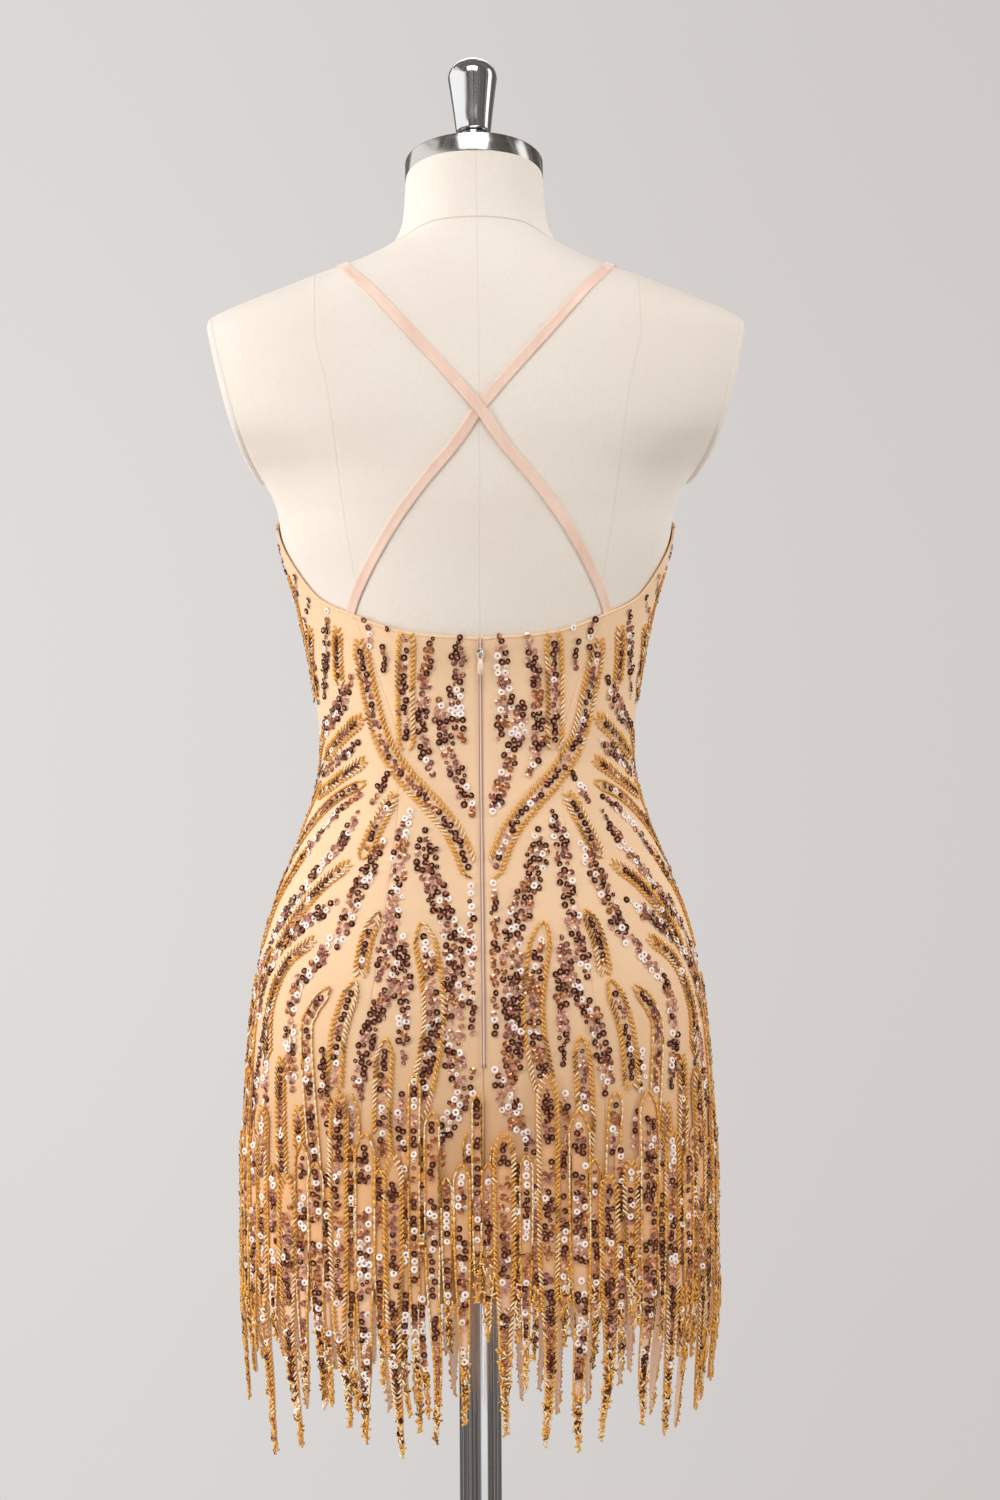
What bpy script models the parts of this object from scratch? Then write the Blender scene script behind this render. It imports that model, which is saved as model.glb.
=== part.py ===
"""A beaded bodycon dress with crossed straps, on a limbless dress form with a round base.

The floor is z = 0, the front of the dress faces -Y and its wearer's left is +X.
Lengths are in metres. Angles round the figure start at the left side seam (0 degrees), and
run over the centre back (90), the right side seam (180) and the centre front (270).
"""

import bisect
import math

import bmesh
import bpy
from mathutils import Matrix, Vector
from mathutils.bvhtree import BVHTree

# ---- Driving sizes -------------------------------------------------------------------------

FORM_GAP = 0.0012        # air between the form's cover and the cloth
STRAP_POINT_EASE = 0.0014             # the front stands off this much more at its strap points
STRAP_POINT_RISE = (1.215, 1.240)     # over these heights
CLOTH = 0.0015           # thickness of the lined, beaded cloth
SEAM_GAP = 0.0003        # between two pieces that meet at a seam
LAY_GAP = 0.0003         # between a piece and what lies on it
HEM = 0.636              # level hem of the lining cloth
YOKE = 1.050             # above this height a panel's rows rise to its top edge

TORSO_BOTTOM = 0.672
TORSO_SIDES = 40
NECK_TOP = 1.4605
NECK_TILT = math.radians(20)
SQUARENESS = 2.3         # exponent of the figure's sections; 2 is an ellipse

ARM_PLANE = (0.1750, 1.297)            # sideways and height of the middle of the cut arm
ARM_LEAN = math.radians(15)
ARM_TURN = math.radians(6.5)           # the cut faces this much towards the front
ARM_PLATE_RADIUS = 0.086
ARM_PLATE_DOME = 0.0095

BUST_APART = 0.083       # from the middle to each apex
BUST_HEIGHT = 1.157
BUST_RISE = 0.036
BUST_SPREAD = 0.043
BUST_SPREAD_UP = 0.062

STRAP_WIDTH = 0.008
STRAP_AXIS_HEIGHT = 1.280             # straps are placed by their angle about this sideways line
STRAP_END_GAP = 0.0006
STRAP_STEPS = 40
CROSSING_REACH = 0.016

ZIP_BOTTOM = 0.807
ZIP_WIDTH = 0.0032
ZIP_COIL = 0.0008
SLIDER_HEIGHT = 1.1075
SLIDER_LENGTH = 0.0085
SLIDER_WIDTH = 0.0052
SLIDER_DEPTH = 0.0018
BRIDGE_WIDTH = 0.0016                 # the slider's bridge holds the pull's top bar
BRIDGE_BAR = 0.0008
BRIDGE_HOLE = (0.0014, 0.0024)        # outward and upward
PULL_THICKNESS = 0.0008
PULL_LENGTH = 0.0165
PULL_WIDTH = 0.0046
PULL_EYE = (0.0024, 0.0034)           # sideways and down

FRINGE_TOP = 0.742
FRINGE_BACKING = 0.006
FRINGE_THICKNESS = 0.0012
FRINGE_LIFT = 0.0007                  # from the panels' outer face to the fringe
STRAND_SEGMENTS = 6
STRAND_TIP = 0.0022

POLE_RADIUS = 0.016
BASE_THICKNESS = 0.008

# The figure: sections from the fringe's tips to the neck. "width" is half the width with the
# stubs of the arms, "trunk" is half the width without them, "back" and "front" are the depths
# behind and before the pole's axis, and "tilt" turns the section up at the back, in degrees.
FIGURE_COLUMNS = ("width", "trunk", "back", "front", "tilt")
FIGURE = (
    (0.500, (0.162, 0.162, 0.108, 0.096, 0.0)),
    (0.560, (0.166, 0.166, 0.111, 0.098, 0.0)),
    (0.636, (0.173, 0.173, 0.116, 0.100, 0.0)),
    (0.734, (0.173, 0.173, 0.120, 0.102, 0.0)),
    (0.793, (0.1705, 0.1705, 0.123, 0.104, 0.0)),
    (0.853, (0.165, 0.165, 0.122, 0.105, 0.0)),
    (0.913, (0.152, 0.152, 0.112, 0.103, 0.0)),
    (0.972, (0.129, 0.129, 0.099, 0.099, 0.0)),
    (1.002, (0.119, 0.119, 0.092, 0.095, 0.0)),
    (1.032, (0.1138, 0.1138, 0.087, 0.092, 0.0)),
    (1.077, (0.118, 0.118, 0.086, 0.092, 0.0)),
    (1.137, (0.129, 0.129, 0.094, 0.100, 0.0)),
    (1.196, (0.1455, 0.1455, 0.099, 0.102, 0.0)),
    (1.211, (0.1475, 0.1475, 0.100, 0.101, 0.0)),
    (1.226, (0.1525, 0.1500, 0.101, 0.099, 0.5)),
    (1.241, (0.162, 0.152, 0.101, 0.094, 1.0)),
    (1.256, (0.182, 0.153, 0.101, 0.091, 1.5)),
    (1.272, (0.203, 0.154, 0.101, 0.088, 2.2)),
    (1.290, (0.214, 0.155, 0.100, 0.084, 3.5)),
    (1.315, (0.219, 0.156, 0.097, 0.079, 5.0)),
    (1.340, (0.216, 0.157, 0.092, 0.074, 6.5)),
    (1.355, (0.198, 0.158, 0.088, 0.069, 7.5)),
    (1.370, (0.163, 0.150, 0.083, 0.063, 8.0)),
    (1.3845, (0.125, 0.120, 0.077, 0.058, 8.0)),
    (1.3985, (0.086, 0.086, 0.069, 0.054, 8.5)),
    (1.413, (0.0605, 0.0605, 0.061, 0.051, 10.0)),
    (1.431, (0.0535, 0.0535, 0.056, 0.049, 14.0)),
    (NECK_TOP, (0.0512, 0.0512, 0.051, 0.046, 20.0)),
)
TORSO_BANDS = ((TORSO_BOTTOM, 0.950, 7), (0.950, 1.065, 7), (1.065, 1.211, 11), (1.211, 1.405, 14),
               (1.405, NECK_TOP, 4))

# Half the width of the centre back panels, from the zip to the princess seam, by height.
PRINCESS_SEAM = (
    (HEM, 0.094),
    (0.800, 0.086),
    (1.032, 0.058),
    (1.100, 0.076),
    (1.138, 0.092),
)

# Height of the top edge by the angle from the side seam towards the centre, in degrees.
BACK_EDGE = ((0, 1.204), (15, 1.176), (31, 1.148), (46, 1.137), (70, 1.122), (90, 1.118))
FRONT_EDGE = (
    (0, 1.204),
    (22.5, 1.217),
    (37.5, 1.236),
    (45, 1.249),
    (52.5, 1.262),
    (60, 1.262),
    (67.5, 1.246),
    (78, 1.214),
    (90, 1.180),
)

# A strap's sideways place by its angle about the strap axis: 0 is straight back, 90 straight up.
STRAP_PATH = (
    (-64, -0.0945),
    (-56, -0.0847),
    (-40, -0.0622),
    (-26, -0.0405),
    (-11.5, -0.0170),
    (2.5, 0.0),
    (21, 0.0284),
    (36.5, 0.0553),
    (51, 0.0812),
    (60, 0.0945),
    (80, 0.1015),
    (140, 0.0990),
    (195, 0.0912),
)
STRAP_BACK_RANGE = (-68, -40)         # where the back end lies, in degrees
STRAP_FRONT_RANGE = (170, 195)

# The strands of half the fringe. "place" is the distance round the hem from the side seam,
# "drift" is how far the tip hangs to the side of the root.
STRAND_COLUMNS = ("place", "width", "tip", "drift")
STRANDS = (
    (0.013, 0.009, 0.646, 0.001),
    (0.035, 0.009, 0.600, 0.003),
    (0.060, 0.011, 0.522, 0.004),
    (0.087, 0.015, 0.530, 0.002),
    (0.112, 0.012, 0.560, 0.003),
    (0.130, 0.013, 0.546, 0.002),
    (0.150, 0.014, 0.535, -0.003),
    (0.171, 0.013, 0.525, 0.001),
    (0.186, 0.008, 0.543, 0.001),
    (0.199, 0.010, 0.536, 0.003),
    (0.2095, 0.008, 0.602, 0.001),
    (0.2205, 0.011, 0.549, 0.002),
    (0.2315, 0.007, 0.637, 0.000),
    (0.251, 0.014, 0.540, 0.002),
    (0.267, 0.009, 0.574, -0.002),
    (0.283, 0.014, 0.533, 0.001),
    (0.306, 0.014, 0.529, 0.003),
    (0.328, 0.013, 0.536, 0.000),
    (0.345, 0.011, 0.616, 0.001),
    (0.361, 0.014, 0.545, -0.002),
    (0.381, 0.013, 0.536, 0.000),
    (0.397, 0.010, 0.578, 0.000),
    (0.413, 0.012, 0.550, 0.004),
    (0.437, 0.011, 0.570, 0.002),
    (0.463, 0.010, 0.598, -0.001),
)


# ---- Curves through tables -----------------------------------------------------------------

def smooth_curve(points):
    """A function through (place, value) points, smooth and without overshoot."""
    places = [place for place, _ in points]
    values = [value for _, value in points]
    steps = [after - before for before, after in zip(places, places[1:])]
    slopes = [(after - before) / step for before, after, step in zip(values, values[1:], steps)]
    tangents = [slopes[0]]
    for before, after in zip(slopes, slopes[1:]):
        turning = before * after <= 0.0
        tangents.append(0.0 if turning else 2.0 * before * after / (before + after))
    tangents.append(slopes[-1])

    def curve(place):
        place = min(max(place, places[0]), places[-1])
        index = min(bisect.bisect_right(places, place), len(steps)) - 1
        step = steps[index]
        t = (place - places[index]) / step
        start = (1 + 2 * t) * (1 - t) ** 2 * values[index] + t * (1 - t) ** 2 * step * tangents[index]
        end = t * t * (3 - 2 * t) * values[index + 1] + t * t * (t - 1) * step * tangents[index + 1]
        return start + end

    return curve


def figure_column(name):
    index = FIGURE_COLUMNS.index(name)
    return smooth_curve([(height, sizes[index]) for height, sizes in FIGURE])


figure_width = figure_column("width")
figure_trunk = figure_column("trunk")
figure_back = figure_column("back")
figure_front = figure_column("front")
figure_tilt = figure_column("tilt")
princess_half_width = smooth_curve(PRINCESS_SEAM)
back_edge = smooth_curve(BACK_EDGE)
front_edge = smooth_curve(FRONT_EDGE)
strap_path = smooth_curve(STRAP_PATH)


def blend(start, end, share):
    return start + (end - start) * share


# ---- The figure's surface ------------------------------------------------------------------

def bust(sideways, height):
    """How far the bust stands forward of the figure's plain section."""
    spread = BUST_SPREAD_UP if height > BUST_HEIGHT else BUST_SPREAD
    across = (abs(sideways) - BUST_APART) / BUST_SPREAD
    along = (height - BUST_HEIGHT) / spread
    return BUST_RISE * math.exp(-(across * across + along * along) / 2)


def figure_point(angle, height, with_arms=False):
    """A point of the figure; with_arms spreads the section over the stubs of the arms."""
    cosine, sine = math.cos(angle), math.sin(angle)
    half_width = figure_width(height)
    reach = half_width if with_arms else figure_trunk(height)
    x = math.copysign(abs(cosine) ** (2 / SQUARENESS), cosine) * reach
    inside = 1 - min(1.0, abs(x) / half_width) ** SQUARENESS
    back, front = figure_back(height), figure_front(height)
    centre = (back - front) / 2
    y = centre + math.copysign((back + front) / 2 * inside ** (1 / SQUARENESS), sine)
    if sine < 0:
        y += sine * bust(x, height)
    z = height + (y - centre) * math.tan(math.radians(figure_tilt(height)))
    return Vector((x, y, z))


def lifted_point(angle, height, lift):
    """A point that stands off the figure, square to its surface."""
    turn, rise = 0.02, 0.004
    around = figure_point(angle + turn, height) - figure_point(angle - turn, height)
    upward = figure_point(angle, height + rise) - figure_point(angle, height - rise)
    return figure_point(angle, height) + around.cross(upward).normalized() * lift


def ease(height):
    """How much further the cloth stands off the form near the front's strap points."""
    low, high = STRAP_POINT_RISE
    share = min(max((height - low) / (high - low), 0.0), 1.0)
    return STRAP_POINT_EASE * share * share * (3 - 2 * share)


def angle_at(sideways, height):
    """The angle, on the left half of the back, of a point this far from the middle."""
    share = min(1.0, abs(sideways) / figure_trunk(height))
    return math.acos(share ** (SQUARENESS / 2))


def angle_beside(angle, distance, height):
    """The angle of a point that lies a small distance further round the figure."""
    start = figure_point(angle, height)
    near, far = 0.0, 0.2
    for _ in range(24):
        middle = (near + far) / 2
        there = figure_point(angle + math.copysign(middle, distance), height)
        if (there - start).length < abs(distance):
            near = middle
        else:
            far = middle
    return angle + math.copysign(near, distance)


def top_edge(angle):
    """The height of the dress's top edge at an angle round the figure."""
    turned = math.degrees(angle) % 360
    from_side = min(turned % 180, 180 - turned % 180)
    return back_edge(from_side) if turned < 180 else front_edge(from_side)


# ---- Mesh helpers --------------------------------------------------------------------------

def paint(name, colour, roughness, metallic=0.0):
    """A plain material for one kind of piece."""
    material = bpy.data.materials.new(name)
    material.use_nodes = True
    shader = material.node_tree.nodes["Principled BSDF"]
    shader.inputs["Base Color"].default_value = (*colour, 1.0)
    shader.inputs["Roughness"].default_value = roughness
    shader.inputs["Metallic"].default_value = metallic
    return material


def add_object(name, mesh, material=None, place=None):
    piece = bpy.data.objects.new(name, mesh)
    bpy.context.scene.collection.objects.link(piece)
    if material:
        mesh.materials.append(material)
    if place:
        piece.matrix_world = place
    return piece


def mesh_of(name, points, faces):
    """A closed mesh of triangles that point out; their diagonals follow the shape."""
    shape = bmesh.new()
    corners = [shape.verts.new(point) for point in points]
    for face in faces:
        shape.faces.new([corners[index] for index in face])
    bmesh.ops.recalc_face_normals(shape, faces=shape.faces)
    bmesh.ops.triangulate(shape, faces=shape.faces)
    mesh = bpy.data.meshes.new(name)
    shape.to_mesh(mesh)
    shape.free()
    return mesh


def tube_mesh(name, rings):
    """A closed mesh through rings of the same number of points, with flat ends."""
    count = len(rings[0])
    points = [point for ring in rings for point in ring]
    faces = [tuple(range(count))[::-1], tuple(range(len(points) - count, len(points)))]
    for low in range(0, len(points) - count, count):
        for index in range(count):
            after = (index + 1) % count
            faces.append((low + index, low + after, low + count + after, low + count + index))
    return mesh_of(name, points, faces)


def wall_mesh(name, columns):
    """A closed cloth wall from columns of (inner, outer) points."""
    tall, wide = len(columns[0]), len(columns)
    points = [point for column in columns for pair in column for point in pair]

    def corner(column, row, outer):
        return (column * tall + row) * 2 + outer

    faces = []
    for c in range(wide - 1):
        for r in range(tall - 1):
            for outer in (0, 1):
                square = (corner(c, r, outer), corner(c + 1, r, outer),
                          corner(c + 1, r + 1, outer), corner(c, r + 1, outer))
                faces.append(square if outer else square[::-1])
        for r in (0, tall - 1):
            faces.append((corner(c, r, 0), corner(c + 1, r, 0), corner(c + 1, r, 1), corner(c, r, 1)))
    for r in range(tall - 1):
        for c in (0, wide - 1):
            faces.append((corner(c, r, 0), corner(c, r + 1, 0), corner(c, r + 1, 1), corner(c, r, 1)))
    return mesh_of(name, points, faces)


def turned_mesh(name, profile, sides):
    """A solid of revolution about local Z from (radius, height) points, axis to axis."""
    points, rings = [], []
    for radius, height in profile:
        count = 1 if radius == 0 else sides
        rings.append(range(len(points), len(points) + count))
        for index in range(count):
            turn = 2 * math.pi * index / sides
            points.append((radius * math.cos(turn), radius * math.sin(turn), height))
    faces = []
    for low, high in zip(rings, rings[1:]):
        for index in range(sides):
            after = (index + 1) % sides
            face = [low[index % len(low)], low[after % len(low)],
                    high[after % len(high)], high[index % len(high)]]
            faces.append(tuple(dict.fromkeys(face)))
    return mesh_of(name, points, faces)


def shade_round(piece, sharp=35):
    piece.data.shade_smooth()
    piece.data.set_sharp_from_angle(angle=math.radians(sharp))


def combine(piece, other, operation):
    """Cut, join or intersect a piece with a guide, which is left out of the model."""
    other.hide_render = True
    other.display_type = "WIRE"
    modifier = piece.modifiers.new(operation.title(), "BOOLEAN")
    modifier.operation = operation
    modifier.object = other


def box_mesh(name, low, high):
    """A box between two corners."""
    x0, y0, z0 = low
    x1, y1, z1 = high
    ring = [(x0, y0), (x1, y0), (x1, y1), (x0, y1)]
    return tube_mesh(name, [[(x, y, z) for x, y in ring] for z in (z0, z1)])


# ---- The dress form ------------------------------------------------------------------------

def torso_mesh(name):
    """The whole figure from its flat bottom to the neck, with the stubs of the arms."""
    heights = [TORSO_BOTTOM]
    for low, high, count in TORSO_BANDS:
        heights += [blend(low, high, step / count) for step in range(1, count + 1)]
    turns = [2 * math.pi * side / TORSO_SIDES for side in range(TORSO_SIDES)]
    return tube_mesh(name, [[figure_point(turn, height, True) for turn in turns] for height in heights])


def arm_place(side):
    """Local +X points out of the arm's cut plane; side is 1 on the left and -1 on the right."""
    sideways, height = ARM_PLANE
    turn = -ARM_TURN if side > 0 else math.pi + ARM_TURN
    leaning = Matrix.Rotation(side * ARM_LEAN, 4, "Y")
    return Matrix.Translation((side * sideways, 0, height)) @ leaning @ Matrix.Rotation(turn, 4, "Z")


def build_torso(linen):
    torso = add_object("form_torso", torso_mesh("form_torso"), linen)
    for side, word in ((1, "left"), (-1, "right")):
        cutter_mesh = box_mesh("arm_cutter", (0, -0.2, -0.2), (0.2, 0.2, 0.2))
        combine(torso, add_object("arm_cutter_" + word, cutter_mesh, place=arm_place(side)), "DIFFERENCE")
    shade_round(torso, 50)
    return torso


def build_arm_plates(linen):
    """Domed plates that close the arms, each a slice of the figure outside the cut."""
    bulge = (ARM_PLATE_RADIUS ** 2 + ARM_PLATE_DOME ** 2) / (2 * ARM_PLATE_DOME)
    arc = math.asin(ARM_PLATE_RADIUS / bulge)
    dome = [(bulge * math.sin(arc * step / 5), bulge * math.cos(arc * step / 5) - bulge + ARM_PLATE_DOME)
            for step in range(5, 0, -1)]
    profile = [(0, 0)] + dome + [(0, ARM_PLATE_DOME)]
    outward = Matrix.Translation((SEAM_GAP, 0, 0)) @ Matrix.Rotation(math.pi / 2, 4, "Y")
    for side, word in ((1, "left"), (-1, "right")):
        mesh = turned_mesh("form_arm_plate", profile, 20)
        plate = add_object("form_arm_plate_" + word, mesh, linen, arm_place(side) @ outward)
        combine(plate, add_object("arm_guide_" + word, torso_mesh("arm_guide")), "INTERSECT")
        shade_round(plate)


def build_neck(steel, chrome):
    """The tilted neck cap with its stem, and the knob that screws on to it."""
    centre = (figure_back(NECK_TOP) - figure_front(NECK_TOP)) / 2
    tilted = Matrix.Translation((0, centre, NECK_TOP)) @ Matrix.Rotation(NECK_TILT, 4, "X")
    cap_profile = ((0, 0), (0.0505, 0), (0.0515, 0.001), (0.0515, 0.0145), (0.0505, 0.0155),
                   (0.046, 0.0160), (0.0125, 0.0185), (0.0105, 0.0205), (0.0105, 0.0395), (0, 0.0395))
    cap = add_object("form_neck_cap", turned_mesh("form_neck_cap", cap_profile, 32), steel,
                     tilted @ Matrix.Translation((0, 0, SEAM_GAP)))
    shade_round(cap)
    knob_profile = ((0, 0), (0.0118, 0), (0.0128, 0.001), (0.0135, 0.006), (0.0148, 0.018),
                    (0.0165, 0.032), (0.0182, 0.046), (0.0184, 0.047), (0.0179, 0.051), (0.0164, 0.055),
                    (0.0138, 0.0585), (0.0098, 0.061), (0.0048, 0.0622), (0, 0.0625))
    knob = add_object("form_finial", turned_mesh("form_finial", knob_profile, 20), chrome,
                      tilted @ Matrix.Translation((0, 0, cap_profile[-1][1] + 2 * SEAM_GAP)))
    shade_round(knob)


def build_stand(chrome):
    """The pole that carries the torso, and the round plate that it stands in."""
    base_profile = ((0, 0), (0.1785, 0), (0.180, 0.0015), (0.180, 0.0065), (0.1785, BASE_THICKNESS),
                    (0.030, 0.0085), (0.027, 0.011), (0.026, 0.050), (0.025, 0.051),
                    (POLE_RADIUS + SEAM_GAP, 0.051), (POLE_RADIUS + SEAM_GAP, BASE_THICKNESS),
                    (0, BASE_THICKNESS))
    shade_round(add_object("form_base", turned_mesh("form_base", base_profile, 36), chrome))
    low, high = BASE_THICKNESS + SEAM_GAP, TORSO_BOTTOM - SEAM_GAP
    pole_profile = ((0, low), (POLE_RADIUS, low), (POLE_RADIUS, high), (0, high))
    shade_round(add_object("form_pole", turned_mesh("form_pole", pole_profile, 24), chrome))


# ---- The dress -----------------------------------------------------------------------------

LOWER_ROWS = ([blend(HEM, ZIP_BOTTOM, step / 4) for step in range(4)]
              + [blend(ZIP_BOTTOM, YOKE, step / 8) for step in range(9)])


def row_heights(top, upper_rows):
    """The heights of a column's points, from the hem to the top edge."""
    return LOWER_ROWS + [blend(YOKE, top, step / upper_rows) for step in range(1, upper_rows + 1)]


def build_panel(name, first_seam, last_seam, column_count, upper_rows, cloth):
    """A dress panel between two seams, which are functions from height to angle."""
    columns = []
    for column in range(column_count + 1):
        share = column / column_count
        top = YOKE
        for _ in range(5):
            top = top_edge(blend(first_seam(top), last_seam(top), share))
        pairs = []
        for height in row_heights(top, upper_rows):
            angle = blend(first_seam(height), last_seam(height), share)
            inner = FORM_GAP + ease(height)
            pairs.append([lifted_point(angle, height, lift) for lift in (inner, inner + CLOTH)])
        columns.append(pairs)
    shade_round(add_object(name, wall_mesh(name, columns), cloth))


def seam(angle_of_height, side):
    """A seam's edge on one side: -1 is before the seam going round the figure, 1 is after it."""
    return lambda height: angle_beside(angle_of_height(height), side * SEAM_GAP / 2, height)


def build_panels(cloth):
    def side_left(height):
        return 0.0

    def side_right(height):
        return math.pi

    def front_end(height):
        return 2 * math.pi

    def princess_left(height):
        return angle_at(princess_half_width(height), height)

    def princess_right(height):
        return math.pi - princess_left(height)

    def centre_before(height):
        return angle_at(SEAM_GAP / 2, height)

    def centre_after(height):
        return math.pi - centre_before(height)

    build_panel("dress_side_back_left", seam(side_left, 1), seam(princess_left, -1), 6, 6, cloth)
    build_panel("dress_centre_back_left", seam(princess_left, 1), centre_before, 6, 6, cloth)
    build_panel("dress_centre_back_right", centre_after, seam(princess_right, -1), 6, 6, cloth)
    build_panel("dress_side_back_right", seam(princess_right, 1), seam(side_right, -1), 6, 6, cloth)
    build_panel("dress_front", seam(side_right, 1), seam(front_end, -1), 24, 12, cloth)


def strap_frame(tree, side, wrap):
    """The surface point, outward normal and widthwise direction of a strap at an angle."""
    def surface(at):
        origin = Vector((side * strap_path(at), 0, STRAP_AXIS_HEIGHT))
        turn = math.radians(at)
        return tree.ray_cast(origin, Vector((0, math.cos(turn), math.sin(turn))))[:2]

    before, after = surface(wrap - 3), surface(wrap + 3)
    point, normal = surface(wrap)
    normal = (before[1] + after[1] + normal).normalized()
    along = (after[0] - before[0]).normalized()
    return point, normal, normal.cross(along).normalized()


def strap_edge_point(tree, side, edge, wrap):
    """The surface point under one edge of a strap, and the outward normal there."""
    point, normal, across = strap_frame(tree, side, wrap)
    return tree.find_nearest(point + across * edge * STRAP_WIDTH / 2)[0], normal


def strap_end(tree, side, edge, back):
    """The angle at which one edge of a strap reaches the dress's top edge."""
    low, high = STRAP_BACK_RANGE if back else STRAP_FRONT_RANGE
    for _ in range(18):
        middle = (low + high) / 2
        point, _ = strap_edge_point(tree, side, edge, middle)
        from_side = math.degrees(angle_at(point.x, point.z))
        edge_height = back_edge(from_side) if back else front_edge(from_side)
        clear = point.z > edge_height + STRAP_END_GAP
        if clear == back:
            high = middle
        else:
            low = middle
    return high if back else low


def build_strap(name, tree, side, satin):
    """A strap from the back edge, across the other strap, over the shoulder to the front."""
    rises = CLOTH + 2 * LAY_GAP if side > 0 else 0.0
    ends = [(strap_end(tree, side, edge, True), strap_end(tree, side, edge, False)) for edge in (-1, 1)]
    rings = []
    for step in range(STRAP_STEPS + 1):
        share = step / STRAP_STEPS
        inner, outer = [], []
        for edge, (start, end) in zip((-1, 1), ends):
            point, normal = strap_edge_point(tree, side, edge, blend(start, end, share))
            near = math.exp(-(point.x / CROSSING_REACH) ** 2) if point.y > 0 else 0.0
            lift = FORM_GAP + rises * near
            if point.y < 0 and point.z < STRAP_AXIS_HEIGHT:
                lift += STRAP_POINT_EASE
            inner.append(point + normal * lift)
            outer.append(point + normal * (lift + CLOTH))
        rings.append([inner[0], inner[1], outer[1], outer[0]])
    shade_round(add_object(name, tube_mesh(name, rings), satin))


def build_straps(satin):
    mesh = torso_mesh("strap_guide")
    shape = bmesh.new()
    shape.from_mesh(mesh)
    tree = BVHTree.FromBMesh(shape)
    shape.free()
    bpy.data.meshes.remove(mesh)
    build_strap("strap_left", tree, 1, satin)
    build_strap("strap_right", tree, -1, satin)


def back_lift(*layers):
    """The distance from the figure to the outside of layers that lie on the panels."""
    return FORM_GAP + CLOTH + sum(LAY_GAP + layer for layer in layers)


def build_zip(coil_paint, metal, enamel):
    """The closed zip, its slider near the top edge, and the pull that hangs from its bridge."""
    middle = math.pi / 2
    heights = [height for height in row_heights(back_edge(90), 6) if height > ZIP_BOTTOM - SEAM_GAP]
    heights[-1] -= SEAM_GAP
    columns = []
    for side in (1, 0, -1):
        pairs = []
        for height in heights:
            angle = angle_at(ZIP_WIDTH / 2, height) if side else middle
            angle = math.pi - angle if side < 0 else angle
            pairs.append([lifted_point(angle, height, back_lift() + lift)
                          for lift in (LAY_GAP, LAY_GAP + ZIP_COIL)])
        columns.append(pairs)
    add_object("zip_coil", wall_mesh("zip_coil", columns), coil_paint)

    rise = 0.004
    upward = figure_point(middle, SLIDER_HEIGHT + rise) - figure_point(middle, SLIDER_HEIGHT - rise)
    lean = math.atan2(-upward.y, upward.z)
    seat = lifted_point(middle, SLIDER_HEIGHT, back_lift(ZIP_COIL) + LAY_GAP)
    place = Matrix.Translation(seat) @ Matrix.Rotation(lean, 4, "X")
    slider = add_object("zip_slider", slider_mesh(), metal, place)
    combine(slider, add_object("slider_bridge", bridge_mesh(), place=place), "UNION")

    hinge = place @ Vector((0, SLIDER_DEPTH + BRIDGE_HOLE[0] / 2, 0))
    hung = Matrix.Translation(hinge)
    pull = add_object("zip_pull", pull_mesh(), enamel, hung)
    eye_mesh = box_mesh("pull_eye", (-PULL_EYE[0] / 2, -0.01, -BRIDGE_BAR / 2 - PULL_EYE[1]),
                        (PULL_EYE[0] / 2, 0.01, -BRIDGE_BAR / 2))
    combine(pull, add_object("pull_eye", eye_mesh, place=hung), "DIFFERENCE")


def slider_mesh():
    """The slider's body: a shield, widest at its top, with its outward face along local Y."""
    half, top = SLIDER_WIDTH / 2, SLIDER_LENGTH * 0.38
    outline = [(-0.62 * half, top), (-half, top - 0.0012), (-0.92 * half, 0.0), (-0.60 * half, -0.0040),
               (-0.42 * half, top - SLIDER_LENGTH)]
    outline += [(-x, z) for x, z in outline[::-1]]
    shape = []
    for shrink, depth in ((0.9, 0.0), (1.0, 0.0003), (1.0, SLIDER_DEPTH - 0.0005), (0.82, SLIDER_DEPTH)):
        shape.append([(x * shrink, depth, z * shrink) for x, z in outline])
    return tube_mesh("zip_slider", shape)


def bridge_mesh():
    """A staple on the slider's face; the pull's bar lies in it."""
    out, up = BRIDGE_HOLE[0], BRIDGE_HOLE[1] / 2
    foot, face = SLIDER_DEPTH - 0.0006, SLIDER_DEPTH
    loop = [(foot, -up - BRIDGE_BAR), (face + out + BRIDGE_BAR, -up - BRIDGE_BAR),
            (face + out + BRIDGE_BAR, up + BRIDGE_BAR), (foot, up + BRIDGE_BAR), (foot, up),
            (face + out, up), (face + out, -up), (foot, -up)]
    half = BRIDGE_WIDTH / 2
    return tube_mesh("slider_bridge", [[(x, y, z) for y, z in loop] for x in (-half, half)])


def pull_mesh():
    """A flat drop with its top bar on the hinge line; the eye is cut out of it."""
    half, bar = PULL_WIDTH / 2, BRIDGE_BAR / 2
    outline = [(0.86 * half, bar), (half, bar - 0.0004), (0.94 * half, -PULL_EYE[1] - 2 * bar),
               (0.74 * half, -0.0075)]
    drop, radius = PULL_LENGTH - half, half
    for step in range(7):
        turn = math.radians(20 - 110 * step / 6)
        outline.append((radius * math.cos(turn), -drop + radius * math.sin(turn)))
    outline += [(-x, z) for x, z in outline[-2::-1]]
    return tube_mesh("zip_pull", [[(x, y, z) for x, z in outline]
                                  for y in (-PULL_THICKNESS / 2, PULL_THICKNESS / 2)])


# ---- The fringe ----------------------------------------------------------------------------

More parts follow.
